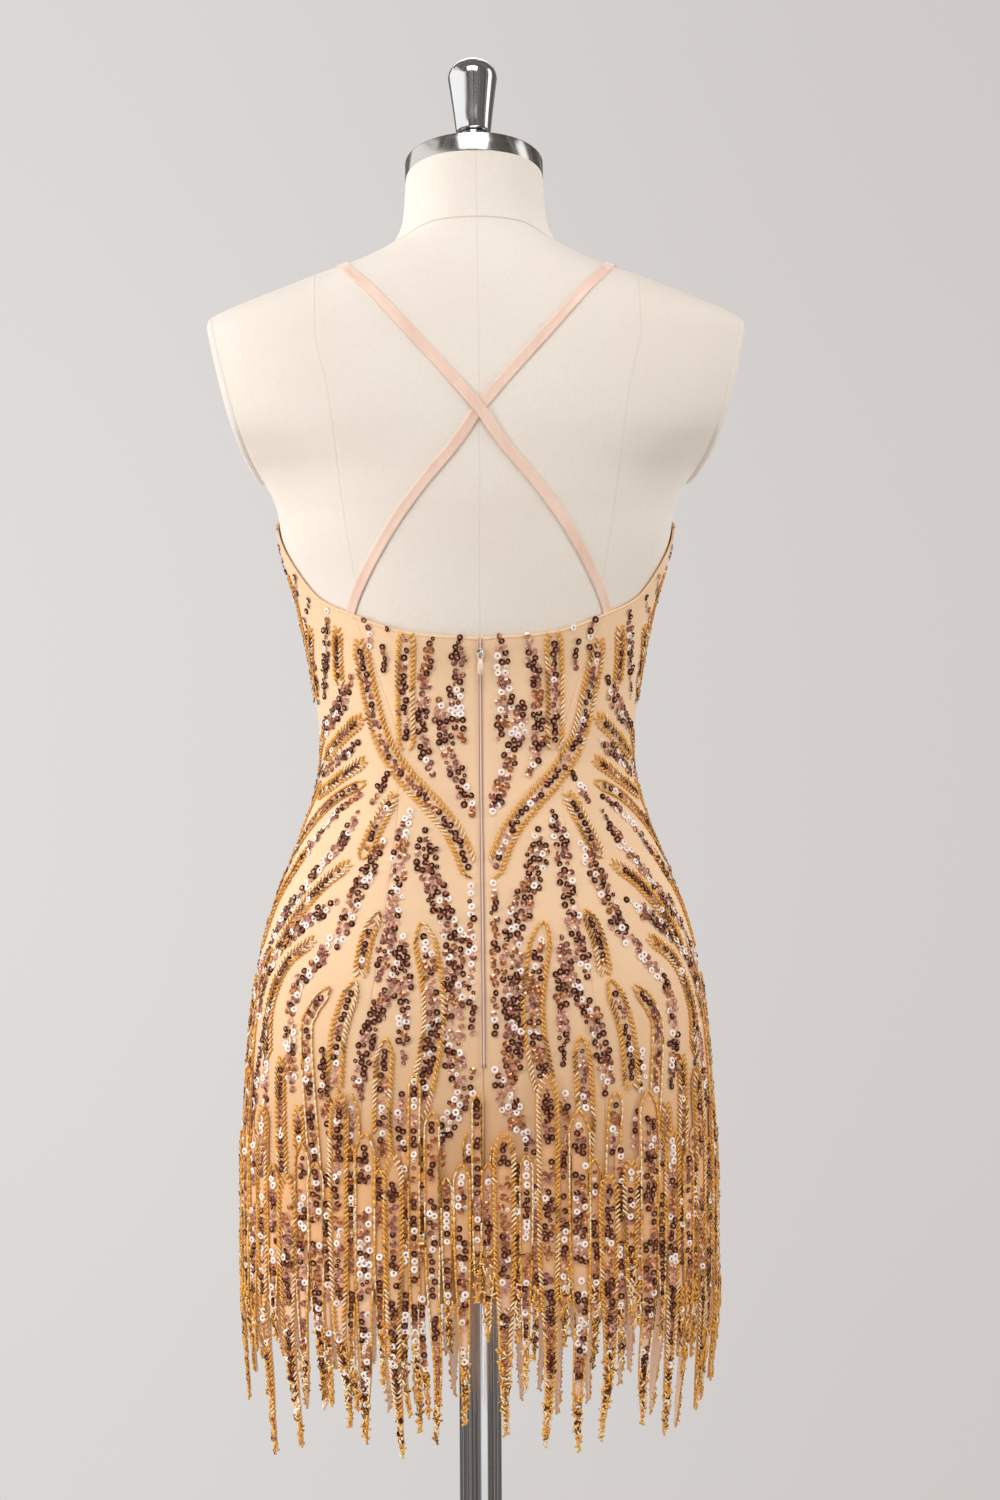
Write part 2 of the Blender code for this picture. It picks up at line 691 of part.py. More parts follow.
def hem_angles():
    """A function from the distance round the hem, from the left side seam, to the angle."""
    count, lift = 720, FORM_GAP + CLOTH + FRINGE_LIFT
    table, distance = [(0.0, 0.0)], 0.0
    before = lifted_point(0, FRINGE_TOP, lift)
    for step in range(1, count + 1):
        angle = 2 * math.pi * step / count
        point = lifted_point(angle, FRINGE_TOP, lift)
        distance += (point - before).length
        table.append((distance, angle))
        before = point
    return smooth_curve(table)


def build_fringe(name, first_side, start, end, beads):
    """A level backing strip from start to end round the hem, with its strands fused to it."""
    angle_of = hem_angles()
    half_round = next(place for place in (step / 10000 for step in range(20000)) if angle_of(place) >= math.pi)
    inner_lift = FORM_GAP + CLOTH + FRINGE_LIFT

    def point(place, height, lift):
        return lifted_point(angle_of(first_side * half_round + place), height, inner_lift + lift)

    strands = []
    for row in STRANDS:
        strand = dict(zip(STRAND_COLUMNS, row))
        if start < strand["place"] / half_round < end:
            strands.append(strand)
    points, faces = [], []

    def ring(left, right, height, thickness):
        base = len(points)
        middle = FRINGE_THICKNESS / 2
        for place, side in ((left, -1), (right, -1), (right, 1), (left, 1)):
            points.append(point(place, height, middle + side * thickness / 2))
        return [base, base + 1, base + 2, base + 3]

    def sides(low, high, which=(0, 1, 2, 3)):
        for index in which:
            after = (index + 1) % 4
            faces.append((low[index], low[after], high[after], high[index]))

    bottom = FRINGE_TOP - FRINGE_BACKING
    edges = [start * half_round + SEAM_GAP]
    for strand in strands:
        edges += [strand["place"] - strand["width"] / 2, strand["place"] + strand["width"] / 2]
    edges.append(end * half_round - SEAM_GAP)
    stations = []
    for place in edges:
        base = len(points)
        for height in (bottom, FRINGE_TOP):
            points.extend(point(place, height, lift) for lift in (0.0, FRINGE_THICKNESS))
        stations.append((base, base + 1, base + 2, base + 3))
    for index, (here, there) in enumerate(zip(stations, stations[1:])):
        faces.append((here[0], there[0], there[2], here[2]))
        faces.append((here[1], here[3], there[3], there[1]))
        faces.append((here[2], there[2], there[3], here[3]))
        if index % 2 == 0:
            faces.append((here[0], here[1], there[1], there[0]))
    for here in (stations[0], stations[-1]):
        faces.append((here[0], here[2], here[3], here[1]))

    for index, strand in enumerate(strands):
        here, there = stations[2 * index + 1], stations[2 * index + 2]
        above = [here[0], there[0], there[1], here[1]]
        for step in range(1, STRAND_SEGMENTS + 1):
            share = step / STRAND_SEGMENTS
            middle = strand["place"] + strand["drift"] * share ** 2
            half = blend(STRAND_TIP, strand["width"], 1 - share ** 3) / 2
            height = blend(bottom, strand["tip"], share)
            thickness = blend(FRINGE_THICKNESS, STRAND_TIP / 2, share)
            below = ring(middle - half, middle + half, height, thickness)
            sides(below, above)
            above = below
        faces.append(tuple(above))
    shade_round(add_object(name, mesh_of(name, points, faces), beads))


# ---- The whole part ------------------------------------------------------------------------

def build_part():
    for old in list(bpy.data.objects):
        bpy.data.objects.remove(old)
    linen = paint("form_linen", (0.82, 0.76, 0.66), 0.85)
    steel = paint("brushed_steel", (0.55, 0.55, 0.56), 0.32, 1.0)
    chrome = paint("chrome", (0.78, 0.79, 0.80), 0.08, 1.0)
    cloth = paint("beaded_cloth", (0.78, 0.56, 0.34), 0.6)
    satin = paint("strap_satin", (0.90, 0.66, 0.50), 0.35)
    coil = paint("zip_coil", (0.50, 0.42, 0.42), 0.5)
    metal = paint("slider_metal", (0.68, 0.66, 0.64), 0.25, 1.0)
    enamel = paint("pull_enamel", (0.76, 0.60, 0.46), 0.35)
    beads = paint("bead_strands", (0.62, 0.40, 0.20), 0.45)

    build_torso(linen)
    build_arm_plates(linen)
    build_neck(steel, chrome)
    build_stand(chrome)
    build_panels(cloth)
    build_straps(satin)
    build_zip(coil, metal, enamel)
    build_fringe("fringe_back_left", 0, 0.0, 0.5, beads)
    build_fringe("fringe_back_right", 0, 0.5, 1.0, beads)
    build_fringe("fringe_front_right", 1, 0.0, 0.5, beads)
    build_fringe("fringe_front_left", 1, 0.5, 1.0, beads)


build_part()
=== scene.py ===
"""The looks of a beaded bodycon dress on a limbless dress form.

The floor is z = 0, the front of the dress faces -Y and its wearer's left is +X. Lengths are in
metres unless a name says millimetres. Angles round the figure start at the left side seam and
run over the centre back (90 degrees), the right side seam (180) and the centre front (270).
The first sections repeat the sizes and the curves that the solids are made from.
"""

import math

import bmesh
import bpy
import numpy as np
from mathutils import Matrix, Vector
from mathutils.bvhtree import BVHTree

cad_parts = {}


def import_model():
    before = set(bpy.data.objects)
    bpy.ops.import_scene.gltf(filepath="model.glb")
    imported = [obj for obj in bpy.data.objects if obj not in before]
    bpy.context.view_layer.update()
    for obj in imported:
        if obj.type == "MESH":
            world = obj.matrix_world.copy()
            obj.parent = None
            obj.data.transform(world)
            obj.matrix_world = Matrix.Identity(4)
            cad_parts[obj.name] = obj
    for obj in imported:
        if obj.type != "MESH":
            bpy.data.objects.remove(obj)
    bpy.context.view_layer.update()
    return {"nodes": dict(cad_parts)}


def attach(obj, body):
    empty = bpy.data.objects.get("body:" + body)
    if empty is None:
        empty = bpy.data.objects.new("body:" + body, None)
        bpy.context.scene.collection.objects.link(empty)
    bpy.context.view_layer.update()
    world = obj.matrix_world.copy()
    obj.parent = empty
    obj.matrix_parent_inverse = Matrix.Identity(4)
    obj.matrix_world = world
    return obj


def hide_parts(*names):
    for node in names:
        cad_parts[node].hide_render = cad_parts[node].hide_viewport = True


# ---- Sizes of the solids -------------------------------------------------------------------

FORM_GAP = 0.0012
STRAP_POINT_EASE = 0.0014
STRAP_POINT_RISE = (1.215, 1.240)
CLOTH = 0.0015
SEAM_GAP = 0.0003
LAY_GAP = 0.0003
HEM = 0.636
YOKE = 1.050

TORSO_BOTTOM = 0.672
NECK_TOP = 1.4605
NECK_TILT = math.radians(20)
SQUARENESS = 2.3
ARM_PLANE = (0.1750, 1.297)
ARM_LEAN = math.radians(15)
ARM_TURN = math.radians(6.5)
ARM_PLATE_DOME = 0.0095
ARM_PLATE_EDGE = 0.0042

BUST_APART = 0.083
BUST_HEIGHT = 1.157
BUST_RISE = 0.036
BUST_SPREAD = 0.043
BUST_SPREAD_UP = 0.062

STRAP_WIDTH = 0.008
STRAP_AXIS_HEIGHT = 1.280
CROSSING_REACH = 0.016

ZIP_BOTTOM = 0.807
ZIP_WIDTH = 0.0032
ZIP_COIL = 0.0008
SLIDER_HEIGHT = 1.1075
SLIDER_LENGTH = 0.0085
SLIDER_WIDTH = 0.0052
SLIDER_DEPTH = 0.0018
BRIDGE_BAR = 0.0008
BRIDGE_HOLE = (0.0014, 0.0024)
PULL_THICKNESS = 0.0008
PULL_LENGTH = 0.0165
PULL_WIDTH = 0.0046
PULL_EYE = (0.0024, 0.0034)

FRINGE_TOP = 0.742
FRINGE_LIFT = 0.0007
STRAND_TIP = 0.0022
POLE_RADIUS = 0.016
BASE_THICKNESS = 0.008

# Sections of the figure; the bust is added to them, and width includes the stubs of the arms.
FIGURE_COLUMNS = ("height", "width", "trunk", "back", "front", "tilt")
FIGURE = (
    (0.500, 0.162, 0.162, 0.108, 0.096, 0.0),
    (0.560, 0.166, 0.166, 0.111, 0.098, 0.0),
    (0.636, 0.173, 0.173, 0.116, 0.100, 0.0),
    (0.734, 0.173, 0.173, 0.120, 0.102, 0.0),
    (0.793, 0.1705, 0.1705, 0.123, 0.104, 0.0),
    (0.853, 0.165, 0.165, 0.122, 0.105, 0.0),
    (0.913, 0.152, 0.152, 0.112, 0.103, 0.0),
    (0.972, 0.129, 0.129, 0.099, 0.099, 0.0),
    (1.002, 0.119, 0.119, 0.092, 0.095, 0.0),
    (1.032, 0.1138, 0.1138, 0.087, 0.092, 0.0),
    (1.077, 0.118, 0.118, 0.086, 0.092, 0.0),
    (1.137, 0.129, 0.129, 0.094, 0.100, 0.0),
    (1.196, 0.1455, 0.1455, 0.099, 0.102, 0.0),
    (1.211, 0.1475, 0.1475, 0.100, 0.101, 0.0),
    (1.226, 0.1525, 0.1500, 0.101, 0.099, 0.5),
    (1.241, 0.162, 0.152, 0.101, 0.094, 1.0),
    (1.256, 0.182, 0.153, 0.101, 0.091, 1.5),
    (1.272, 0.203, 0.154, 0.101, 0.088, 2.2),
    (1.290, 0.214, 0.155, 0.100, 0.084, 3.5),
    (1.315, 0.219, 0.156, 0.097, 0.079, 5.0),
    (1.340, 0.216, 0.157, 0.092, 0.074, 6.5),
    (1.355, 0.198, 0.158, 0.088, 0.069, 7.5),
    (1.370, 0.163, 0.150, 0.083, 0.063, 8.0),
    (1.3845, 0.125, 0.120, 0.077, 0.058, 8.0),
    (1.3985, 0.086, 0.086, 0.069, 0.054, 8.5),
    (1.413, 0.0605, 0.0605, 0.061, 0.051, 10.0),
    (1.431, 0.0535, 0.0535, 0.056, 0.049, 14.0),
    (NECK_TOP, 0.0512, 0.0512, 0.051, 0.046, 20.0),
)
PRINCESS_SEAM = ((HEM, 0.094), (0.800, 0.086), (1.032, 0.058), (1.100, 0.076), (1.138, 0.092))
BACK_EDGE = ((0, 1.204), (15, 1.176), (31, 1.148), (46, 1.137), (70, 1.122), (90, 1.118))
FRONT_EDGE = ((0, 1.204), (22.5, 1.217), (37.5, 1.236), (45, 1.249), (52.5, 1.262), (60, 1.262),
              (67.5, 1.246), (78, 1.214), (90, 1.180))
STRAP_PATH = (
    (-64, -0.0945), (-56, -0.0847), (-40, -0.0622), (-26, -0.0405), (-11.5, -0.0170), (2.5, 0.0),
    (21, 0.0284), (36.5, 0.0553), (51, 0.0812), (60, 0.0945), (80, 0.1015), (140, 0.0990),
    (195, 0.0912),
)
STRAP_BACK_RANGE = (-68, -40)
STRAP_TUCK = 0.004          # the straps' ends lie this far under the top edge
STRAP_FRONT_RANGE = (170, 195)

# Strips of the fringe, on each half of the hem: metres round from a side seam, width, height of
# the tip and drift sideways.
STRAND_COLUMNS = ("place", "width", "tip", "drift")
STRANDS = (
    (0.013, 0.009, 0.646, 0.001),
    (0.035, 0.009, 0.600, 0.003),
    (0.060, 0.011, 0.522, 0.004),
    (0.087, 0.015, 0.530, 0.002),
    (0.112, 0.012, 0.560, 0.003),
    (0.130, 0.013, 0.546, 0.002),
    (0.150, 0.014, 0.535, -0.003),
    (0.171, 0.013, 0.525, 0.001),
    (0.186, 0.008, 0.543, 0.001),
    (0.199, 0.010, 0.536, 0.003),
    (0.2095, 0.008, 0.602, 0.001),
    (0.2205, 0.011, 0.549, 0.002),
    (0.2315, 0.007, 0.637, 0.000),
    (0.251, 0.014, 0.540, 0.002),
    (0.267, 0.009, 0.574, -0.002),
    (0.283, 0.014, 0.533, 0.001),
    (0.306, 0.014, 0.529, 0.003),
    (0.328, 0.013, 0.536, 0.000),
    (0.345, 0.011, 0.616, 0.001),
    (0.361, 0.014, 0.545, -0.002),
    (0.381, 0.013, 0.536, 0.000),
    (0.397, 0.010, 0.578, 0.000),
    (0.413, 0.012, 0.550, 0.004),
    (0.437, 0.011, 0.570, 0.002),
    (0.463, 0.010, 0.598, -0.001),
)

# ---- Sizes of what is added here -----------------------------------------------------------

CLOTH_LIFT = FORM_GAP + CLOTH
GRID = 0.006                # spacing of the cloth's mesh
NEAR_SEAM = (0.0, 0.0007, 0.0018, 0.0036)    # its lines beside a seam
SEAM_EASE = 0.0004          # how far from a seam its gap reaches
SEAM_DIP = 0.0003           # the dip of the cloth at a seam, and how far that reaches
SEAM_DIP_REACH = 0.0012
BODY_RADIUS = 0.15          # turns small lengths round the body into angles
TURN_STEP = 0.02            # steps round and up the figure that give its slopes
RISE_STEP = 0.004
ZIP_FOLD = (0.0045, 0.0016, 0.0005)          # the fold beside the zip: place, half width, height

FORM_SIDES = 208
FORM_BANDS = ((TORSO_BOTTOM, 1.20, 90), (1.20, 1.42, 90), (1.42, NECK_TOP, 16))
ARM_CUT_ABOVE = 1.18        # the stubs of the arms are above this height and beyond this width
ARM_CUT_BEYOND = 0.1
ARM_PLATE_RINGS = ((0.999, -0.05), (0.999, 0.25), (0.990, 0.6), (0.976, 0.88), (0.955, 1.0))
ARM_DOME_RINGS = 12
SEAMS = ("princess", "middle", "collar")
COLLAR_REACH = 0.06         # the collar's seam: shares of this to each side, and height
COLLAR = ((-1.0, 1.405), (-0.5, 1.4155), (0.0, 1.4165), (0.5, 1.4155), (1.0, 1.405))
SHOULDER_SEAM = ((0.60, 0.088), (0.95, 0.085), (1.032, 0.060), (1.10, 0.078), (1.20, 0.097),
                 (1.30, 0.110), (1.345, 0.119), (1.40, 0.119))

# Turned profiles: radius and height.
CAP_PROFILE = ((0, 0), (0.0515, 0), (0.0515, 0.0155), (0.046, 0.0160), (0.0125, 0.0185),
               (0.0105, 0.0205), (0.0105, 0.0395), (0, 0.0395))
KNOB_SIDE = ((0.0128, 0.001), (0.0135, 0.006), (0.0148, 0.018), (0.0165, 0.032), (0.0184, 0.0465))
KNOB_DOME = (0.0184, 0.0470, 0.0155)         # radius, height of its edge, and rise
KNOB_FOOT = 0.0118
CAP_ROUNDING = 0.0009
BASE_ROUNDING = 0.0016
BASE_PROFILE = ((0, 0), (0.180, 0), (0.180, BASE_THICKNESS), (0.030, 0.0085), (0.026, 0.011),
                (0.026, 0.051), (POLE_RADIUS + SEAM_GAP, 0.051),
                (POLE_RADIUS + SEAM_GAP, BASE_THICKNESS), (0, BASE_THICKNESS))

BINDING = (0.0009, 0.0014)  # half the thickness and half the height of the bound edge
BINDING_DROP = 0.0010       # its middle is this far below the top edge and off the cloth's middle
BINDING_OUT = 0.0002
BINDING_END = 0.0022        # it ends at this angle from the zip, in radians
STRAP_LIFT = 0.0006         # the satin gives way, so it lies closer to the form than its solid
# Half sections: shares of the half width, and millimetres or shares outwards.
STRAP_SECTION = ((0.0, 0.95), (0.3, 1.0), (0.62, 1.15), (0.80, 1.2), (0.94, 1.0), (1.0, 0.5),
                 (0.94, 0.1), (0.5, 0.0))
TAPE_LIFT = 0.00005         # the zip's folds start this far over the cloth
TAPE_DEPTH = 0.0003         # and reach this far into it
TAPE_RISE = ZIP_COIL + LAY_GAP - 0.0001
ZIP_SECTION = ((0.0, 1.0), (0.26, 0.85), (0.45, 0.35), (0.72, 0.75), (1.0, 0.5), (1.25, 0.0))
# The slider: shares of its half width and heights; and shares of that outline at depths.
SLIDER_TOP = SLIDER_LENGTH * 0.38
SLIDER_OUTLINE = ((-0.50, SLIDER_TOP), (-0.92, SLIDER_TOP - 0.0008), (-1.0, SLIDER_TOP - 0.0020),
                  (-0.88, 0.0), (-0.58, -0.0040), (-0.40, SLIDER_TOP - SLIDER_LENGTH))
SLIDER_LAYERS = ((0.88, 0.0), (0.97, 0.0002), (1.0, 0.0006), (1.0, SLIDER_DEPTH - 0.0007),
                 (0.95, SLIDER_DEPTH - 0.0002), (0.82, SLIDER_DEPTH))
# The pull, hung from its hinge: shares of its half width and heights.
PULL_TOP = BRIDGE_BAR / 2
PULL_SHOULDER = -PULL_EYE[1] - BRIDGE_BAR
PULL_OUTLINE = ((-0.80, PULL_TOP), (-1.0, PULL_TOP - 0.0005), (-1.0, -PULL_EYE[1] * 0.6),
                (-0.74, PULL_SHOULDER), (-0.66, PULL_SHOULDER - 0.0012), (-0.90, -0.0088),
                (-1.0, -0.0112), (-0.86, -0.0136), (-0.46, -0.0157), (0.0, PULL_TOP - PULL_LENGTH))

SEQUIN_RADIUS = 0.0026
SEQUIN_HOLE = 0.37          # shares of the radius: the hole, and how deep the cup is
SEQUIN_CUP = 0.16
SEQUIN_SPACING = 0.0037     # the least distance between two that are strewn over the cloth
SEQUIN_TILT = 0.22
SEQUIN_LIFT = (0.0005, 0.0014)               # least and most above the cloth
STRIP_SEQUIN_LIFT = (0.0006, 0.0015)         # and above a strip of the fringe
LOOSE_BUGLE_LIFT = (0.0005, 0.0018)
SMALL_SHARE = 0.12          # the share of smaller sequins, and their size
SMALL_SIZE = 0.66
SEED_SIZE = (0.00052, 0.00052, 0.00045)
NARROWEST_CHAIN = 0.0046    # a chain of sequins is no narrower than this
BUGLE_LENGTH = 0.0052
BUGLE_RADIUS = 0.0009
BUGLE_PITCH = 0.0036
BUGLE_TILT = 0.05
BUGLE_SLANT = math.radians(44)
STREAK_SPREAD = 1.30        # a streak's outermost sequins stand this far past its own width
EDGE_OVERHANG = 0.0004      # beads may stand this far above the top edge
ZIP_CLEARANCE = 0.0052      # and no nearer than this to the middle of the zip

NET_THICKNESS = 0.0004
STRIP_LAYER = 0.0004        # neighbouring strips lie this much over each other in turn
LEAST_GAP = 0.0032          # a gap between strips that is wider than this gets a narrow strip
WIDEST_FILLER = 0.0115
FILLER_TIPS = (0.550, 0.625)                 # heights of their tips, and tops above the fringe's top
FILLER_TOPS = (-0.012, 0.020)
LINE_WIDTH = 0.0066         # narrower ones have no border, and a narrow strip no slanted beads
VEE_WIDTH = 0.0095
STRIP_SWING = (0.0008, 0.0026)
STRIP_FLARE = (-0.001, 0.003)
STRIP_PALE = (0.08, 0.16, 0.26, 0.44)        # shares of pale sequins, which are painted highlights
RAGGED = (0.022, 0.030)     # the least loose length at a tip, and what chance adds
STRIP_ARCH = 1.3            # length of a strip's pointed top, in widths
STRIP_TOPS = (0.002, 0.046, -0.014, 0.060, 0.018, -0.004, 0.034)    # above the fringe's top
STRIP_BORDERS = ("vee", "line", "vee", "vee", "line")
STRIP_SPREAD = 1.22         # above the hem, strips are this much wider, so that they overlap
QUARTERS = ("back_left", "back_right", "front_right", "front_left")

# Soft creases of the cloth: angle (degrees), height, half length round the body, half width up
# the body, lean (rise for each metre round) and depth; a negative depth is a trough.
CREASES = (
    (68, 1.040, 0.030, 0.0045, 0.25, 0.0009),
    (112, 1.046, 0.034, 0.0050, -0.22, 0.0010),
    (60, 1.022, 0.026, 0.0040, 0.10, -0.0005),
    (121, 1.026, 0.024, 0.0045, -0.15, -0.0005),
    (76, 0.996, 0.022, 0.0050, -0.20, 0.0008),
    (103, 1.001, 0.020, 0.0045, 0.24, 0.0007),
    (30, 1.030, 0.030, 0.0050, 0.30, 0.0011),
    (152, 1.036, 0.032, 0.0050, -0.28, 0.0010),
    (20, 0.990, 0.030, 0.0060, 0.40, 0.0009),
    (163, 0.985, 0.028, 0.0060, -0.42, 0.0010),
    (84, 0.860, 0.018, 0.0060, 0.50, 0.0007),
    (97, 0.846, 0.020, 0.0065, -0.45, 0.0008),
    (248, 1.040, 0.034, 0.0050, -0.22, 0.0010),
    (289, 1.034, 0.032, 0.0048, 0.25, 0.0010),
    (222, 1.020, 0.030, 0.0050, 0.20, 0.0009),
    (318, 1.014, 0.028, 0.0050, -0.20, 0.0009),
    (262, 0.900, 0.040, 0.0070, -0.10, 0.0009),
    (281, 0.880, 0.036, 0.0065, 0.14, 0.0008),
    (330, 1.110, 0.024, 0.0050, 0.60, 0.0009),
    (211, 1.116, 0.026, 0.0050, -0.55, 0.0009),
)

# Leaves outlined by beads, on the left half of the back: width in millimetres, outline, and
# the route's points as millimetres from the centre line and height in metres. The slanted
# beads of a "vee" leaf fall towards its middle, those of a "peak" leaf rise towards it.
LEAVES = (
    (14.5, "vee", ((87, 1.118), (80, 1.082), (71, 1.046), (57, 1.020), (36, 0.996), (20, 0.975), (7, 0.943))),
    (14.5, "vee", ((53, 1.126), (54, 1.080), (53, 1.035))),
    (13.0, "vee", ((62, 1.004), (72, 0.985), (86, 0.956))),
    (18.0, "peak", ((44, 0.911), (37, 0.868), (36, 0.836), (43, 0.796), (51, 0.768))),
    (12.0, "peak", ((74, 0.919), (83, 0.898), (88, 0.872))),
    (14.5, "peak", ((91, 0.869), (103, 0.833), (107, 0.789))),
    (15.0, "peak", ((70, 0.828), (72, 0.795), (73, 0.762), (70, 0.725))),
    (12.0, "vee", ((84, 1.061), (98, 1.047), (110, 1.031))),
    (11.0, "vee", ((82, 1.029), (98, 1.017), (116, 1.002))),
    (9.0, "line", ((82, 1.012), (102, 1.001), (121, 0.980), (138, 0.953))),
    (12.0, "vee", ((94, 0.953), (114, 0.937), (134, 0.912), (147, 0.886))),
    (11.0, "vee", ((102, 1.127), (102, 1.105), (100, 1.083))),
    (11.0, "vee", ((121, 1.128), (120, 1.100), (116, 1.075))),
    (11.0, "vee", ((120, 0.898), (140, 0.880), (152, 0.848), (154, 0.812))),
    (11.0, "line", ((109, 0.864), (122, 0.846), (126, 0.822), (120, 0.725))),
    (11.0, "vee", ((144, 0.812), (145, 0.780), (144, 0.725))),
    (11.0, "vee", ((132, 0.778), (132, 0.755), (132, 0.725))),
    (11.0, "vee", ((164, 0.830), (167, 0.790), (168, 0.725))),
    (12.0, "line", ((96, 0.788), (94, 0.765), (92, 0.725))),
    (13.0, "line", ((44, 0.764), (44, 0.750), (45, 0.725))),
    (12.0, "line", ((12, 0.760), (10, 0.745), (9, 0.725))),
)

# Streaks of sequins, on the left half of the back: width, and share of pale sequins, which are painted
# highlights.
STREAKS = (
    (8.0, 0.50, ((84, 1.135), (80, 1.122), (79, 1.110))),
    (7.0, 0.60, ((68, 1.132), (67, 1.126), (66, 1.122))),
    (7.0, 0.25, ((71, 1.118), (69, 1.105), (69, 1.093))),
    (10.0, 0.15, ((33, 1.122), (38.5, 1.0995), (41, 1.076), (41, 1.037), (34, 1.016))),
    (12.0, 0.22, ((30, 1.076), (28, 1.053), (22, 1.033), (15, 1.010), (3.5, 0.984))),
    (12.0, 0.35, ((14, 1.122), (16, 1.0995), (18, 1.076), (16.5, 1.060), (12, 1.040))),
    (10.0, 0.20, ((65, 1.021), (71, 1.010), (78, 0.996))),
    (12.0, 0.25, ((50, 0.994), (57, 0.971), (60, 0.942), (64, 0.917), (75, 0.868))),
    (13.0, 0.20, ((57, 0.904), (62, 0.868), (78, 0.843), (88, 0.804), (87, 0.784))),
    (16.0, 0.28, ((41, 0.981), (39, 0.950), (28, 0.920), (21, 0.898), (21.5, 0.848), (21, 0.794))),
    (13.0, 0.30, ((69, 0.972), (80, 0.950), (92, 0.925), (104, 0.891))),
    (7.5, 0.30, ((8, 0.942), (8.5, 0.880), (8, 0.828))),
    (10.0, 0.20, ((51, 0.876), (57, 0.848), (57, 0.807))),
    (15.0, 0.65, ((6, 0.808), (18, 0.782), (31, 0.752))),
    (10.0, 0.30, ((30, 0.764), (33, 0.745), (33, 0.725))),
    (13.0, 0.15, ((91, 1.093), (99, 1.071), (113, 1.049))),
    (9.0, 0.20, ((109, 1.142), (110, 1.110), (111, 1.074))),
    (8.0, 0.30, ((122, 1.152), (123, 1.145), (124, 1.138))),
    (9.0, 0.30, ((132, 1.168), (130, 1.120), (124, 1.073))),
    (10.0, 0.30, ((84, 1.045), (98, 1.032), (114, 1.016))),
    (9.0, 0.40, ((84, 1.004), (102, 0.990), (121, 0.966), (138, 0.938))),
    (10.0, 0.40, ((86, 0.994), (98, 0.971), (112, 0.953), (128, 0.932), (147, 0.902))),
    (12.0, 0.50, ((102, 0.927), (136, 0.901), (154, 0.873), (161, 0.838))),
    (11.0, 0.45, ((107, 0.902), (119, 0.880), (134, 0.861), (138, 0.824), (136, 0.788))),
    (9.0, 0.35, ((155, 0.842), (156, 0.790), (156, 0.725))),
    (9.0, 0.30, ((115, 0.822), (113, 0.785), (108, 0.745))),
    (8.0, 0.25, ((58, 0.792), (60, 0.765), (58, 0.735))),
)

# What the front has besides the back's motifs, on its left half, over the bust.
FRONT_LEAVES = (
    (13.0, "vee", ((20, 1.140), (40, 1.175), (62, 1.215))),
    (13.0, "vee", ((48, 1.140), (72, 1.178), (88, 1.235))),
    (12.0, "vee", ((84, 1.140), (104, 1.175), (112, 1.215))),
    (11.0, "vee", ((118, 1.140), (130, 1.170), (136, 1.198))),
    (11.0, "vee", ((7, 1.128), (15, 1.150), (28, 1.182))),
)
FRONT_STREAKS = (
    (10.0, 0.25, ((34, 1.138), (52, 1.172), (76, 1.225))),
    (10.0, 0.20, ((66, 1.138), (88, 1.175), (101, 1.226))),
    (9.0, 0.25, ((102, 1.140), (118, 1.172), (124, 1.206))),
    (8.0, 0.30, ((8, 1.150), (14, 1.168), (22, 1.186))),
    (7.0, 0.30, ((140, 1.165), (143, 1.180), (144, 1.194))),
)

# Motifs down each side: their points are degrees from the side seam towards the back, and height.
SIDE_LEAVES = (
    (11.0, "vee", ((6, 1.168), (4, 1.125), (5, 1.085))),
    (11.0, "vee", ((-12, 1.150), (-13, 1.105), (-10, 1.075))),
    (10.0, "vee", ((16, 1.050), (6, 1.038), (-5, 1.018))),
    (11.0, "line", ((14, 1.012), (2, 0.990), (-8, 0.962))),
    (11.0, "vee", ((22, 0.962), (12, 0.930), (4, 0.890))),
    (11.0, "vee", ((-2, 0.945), (-9, 0.912), (-15, 0.872))),
    (11.0, "line", ((20, 0.890), (14, 0.850), (11, 0.795))),
    (11.0, "vee", ((3, 0.868), (-1, 0.820), (-3, 0.750))),
    (11.0, "vee", ((-14, 0.850), (-17, 0.805), (-18, 0.750))),
    (10.0, "line", ((9, 0.780), (7, 0.760), (7, 0.735))),
)
SIDE_STREAKS = (
    (9.0, 0.30, ((-3, 1.178), (-4, 1.130), (-2, 1.085))),
    (9.0, 0.35, ((14, 1.140), (14, 1.105), (12, 1.070))),
    (9.0, 0.40, ((17, 1.034), (4, 1.015), (-8, 0.992))),
    (9.0, 0.35, ((20, 0.990), (8, 0.962), (-3, 0.925))),
    (9.0, 0.45, ((25, 0.930), (17, 0.895), (8, 0.850), (4, 0.800))),
    (9.0, 0.40, ((1, 0.912), (-6, 0.870), (-9, 0.820), (-10, 0.755))),
    (8.0, 0.40, ((25, 0.850), (20, 0.810), (18, 0.760))),
    (8.0, 0.35, ((4, 0.790), (2, 0.765), (2, 0.740))),
)

# One rose-gold finish in five tones that paint how its sequins mirror their surroundings: the espresso tone
# is a painted dark reflection, the pale tone a painted highlight, and mauve, copper and rose lie between.
TONES = ("sequin_painted_dark_reflection", "sequin_mauve", "sequin_copper", "sequin_rose", "sequin_painted_highlight")
PAINTED_HIGHLIGHT_TONE = len(TONES) - 1
TONE_SHARES = (0.52, 0.17, 0.17, 0.14)       # of the ones that are not pale
STRIP_TONE_SHARES = (0.50, 0.15, 0.24, 0.11)
GLINT_SHARES = (0.54, 0.32, 0.14)            # all gold, silver line with painted glint, painted dark reflection
rng = np.random.default_rng(11)


# ---- Curves through tables -----------------------------------------------------------------

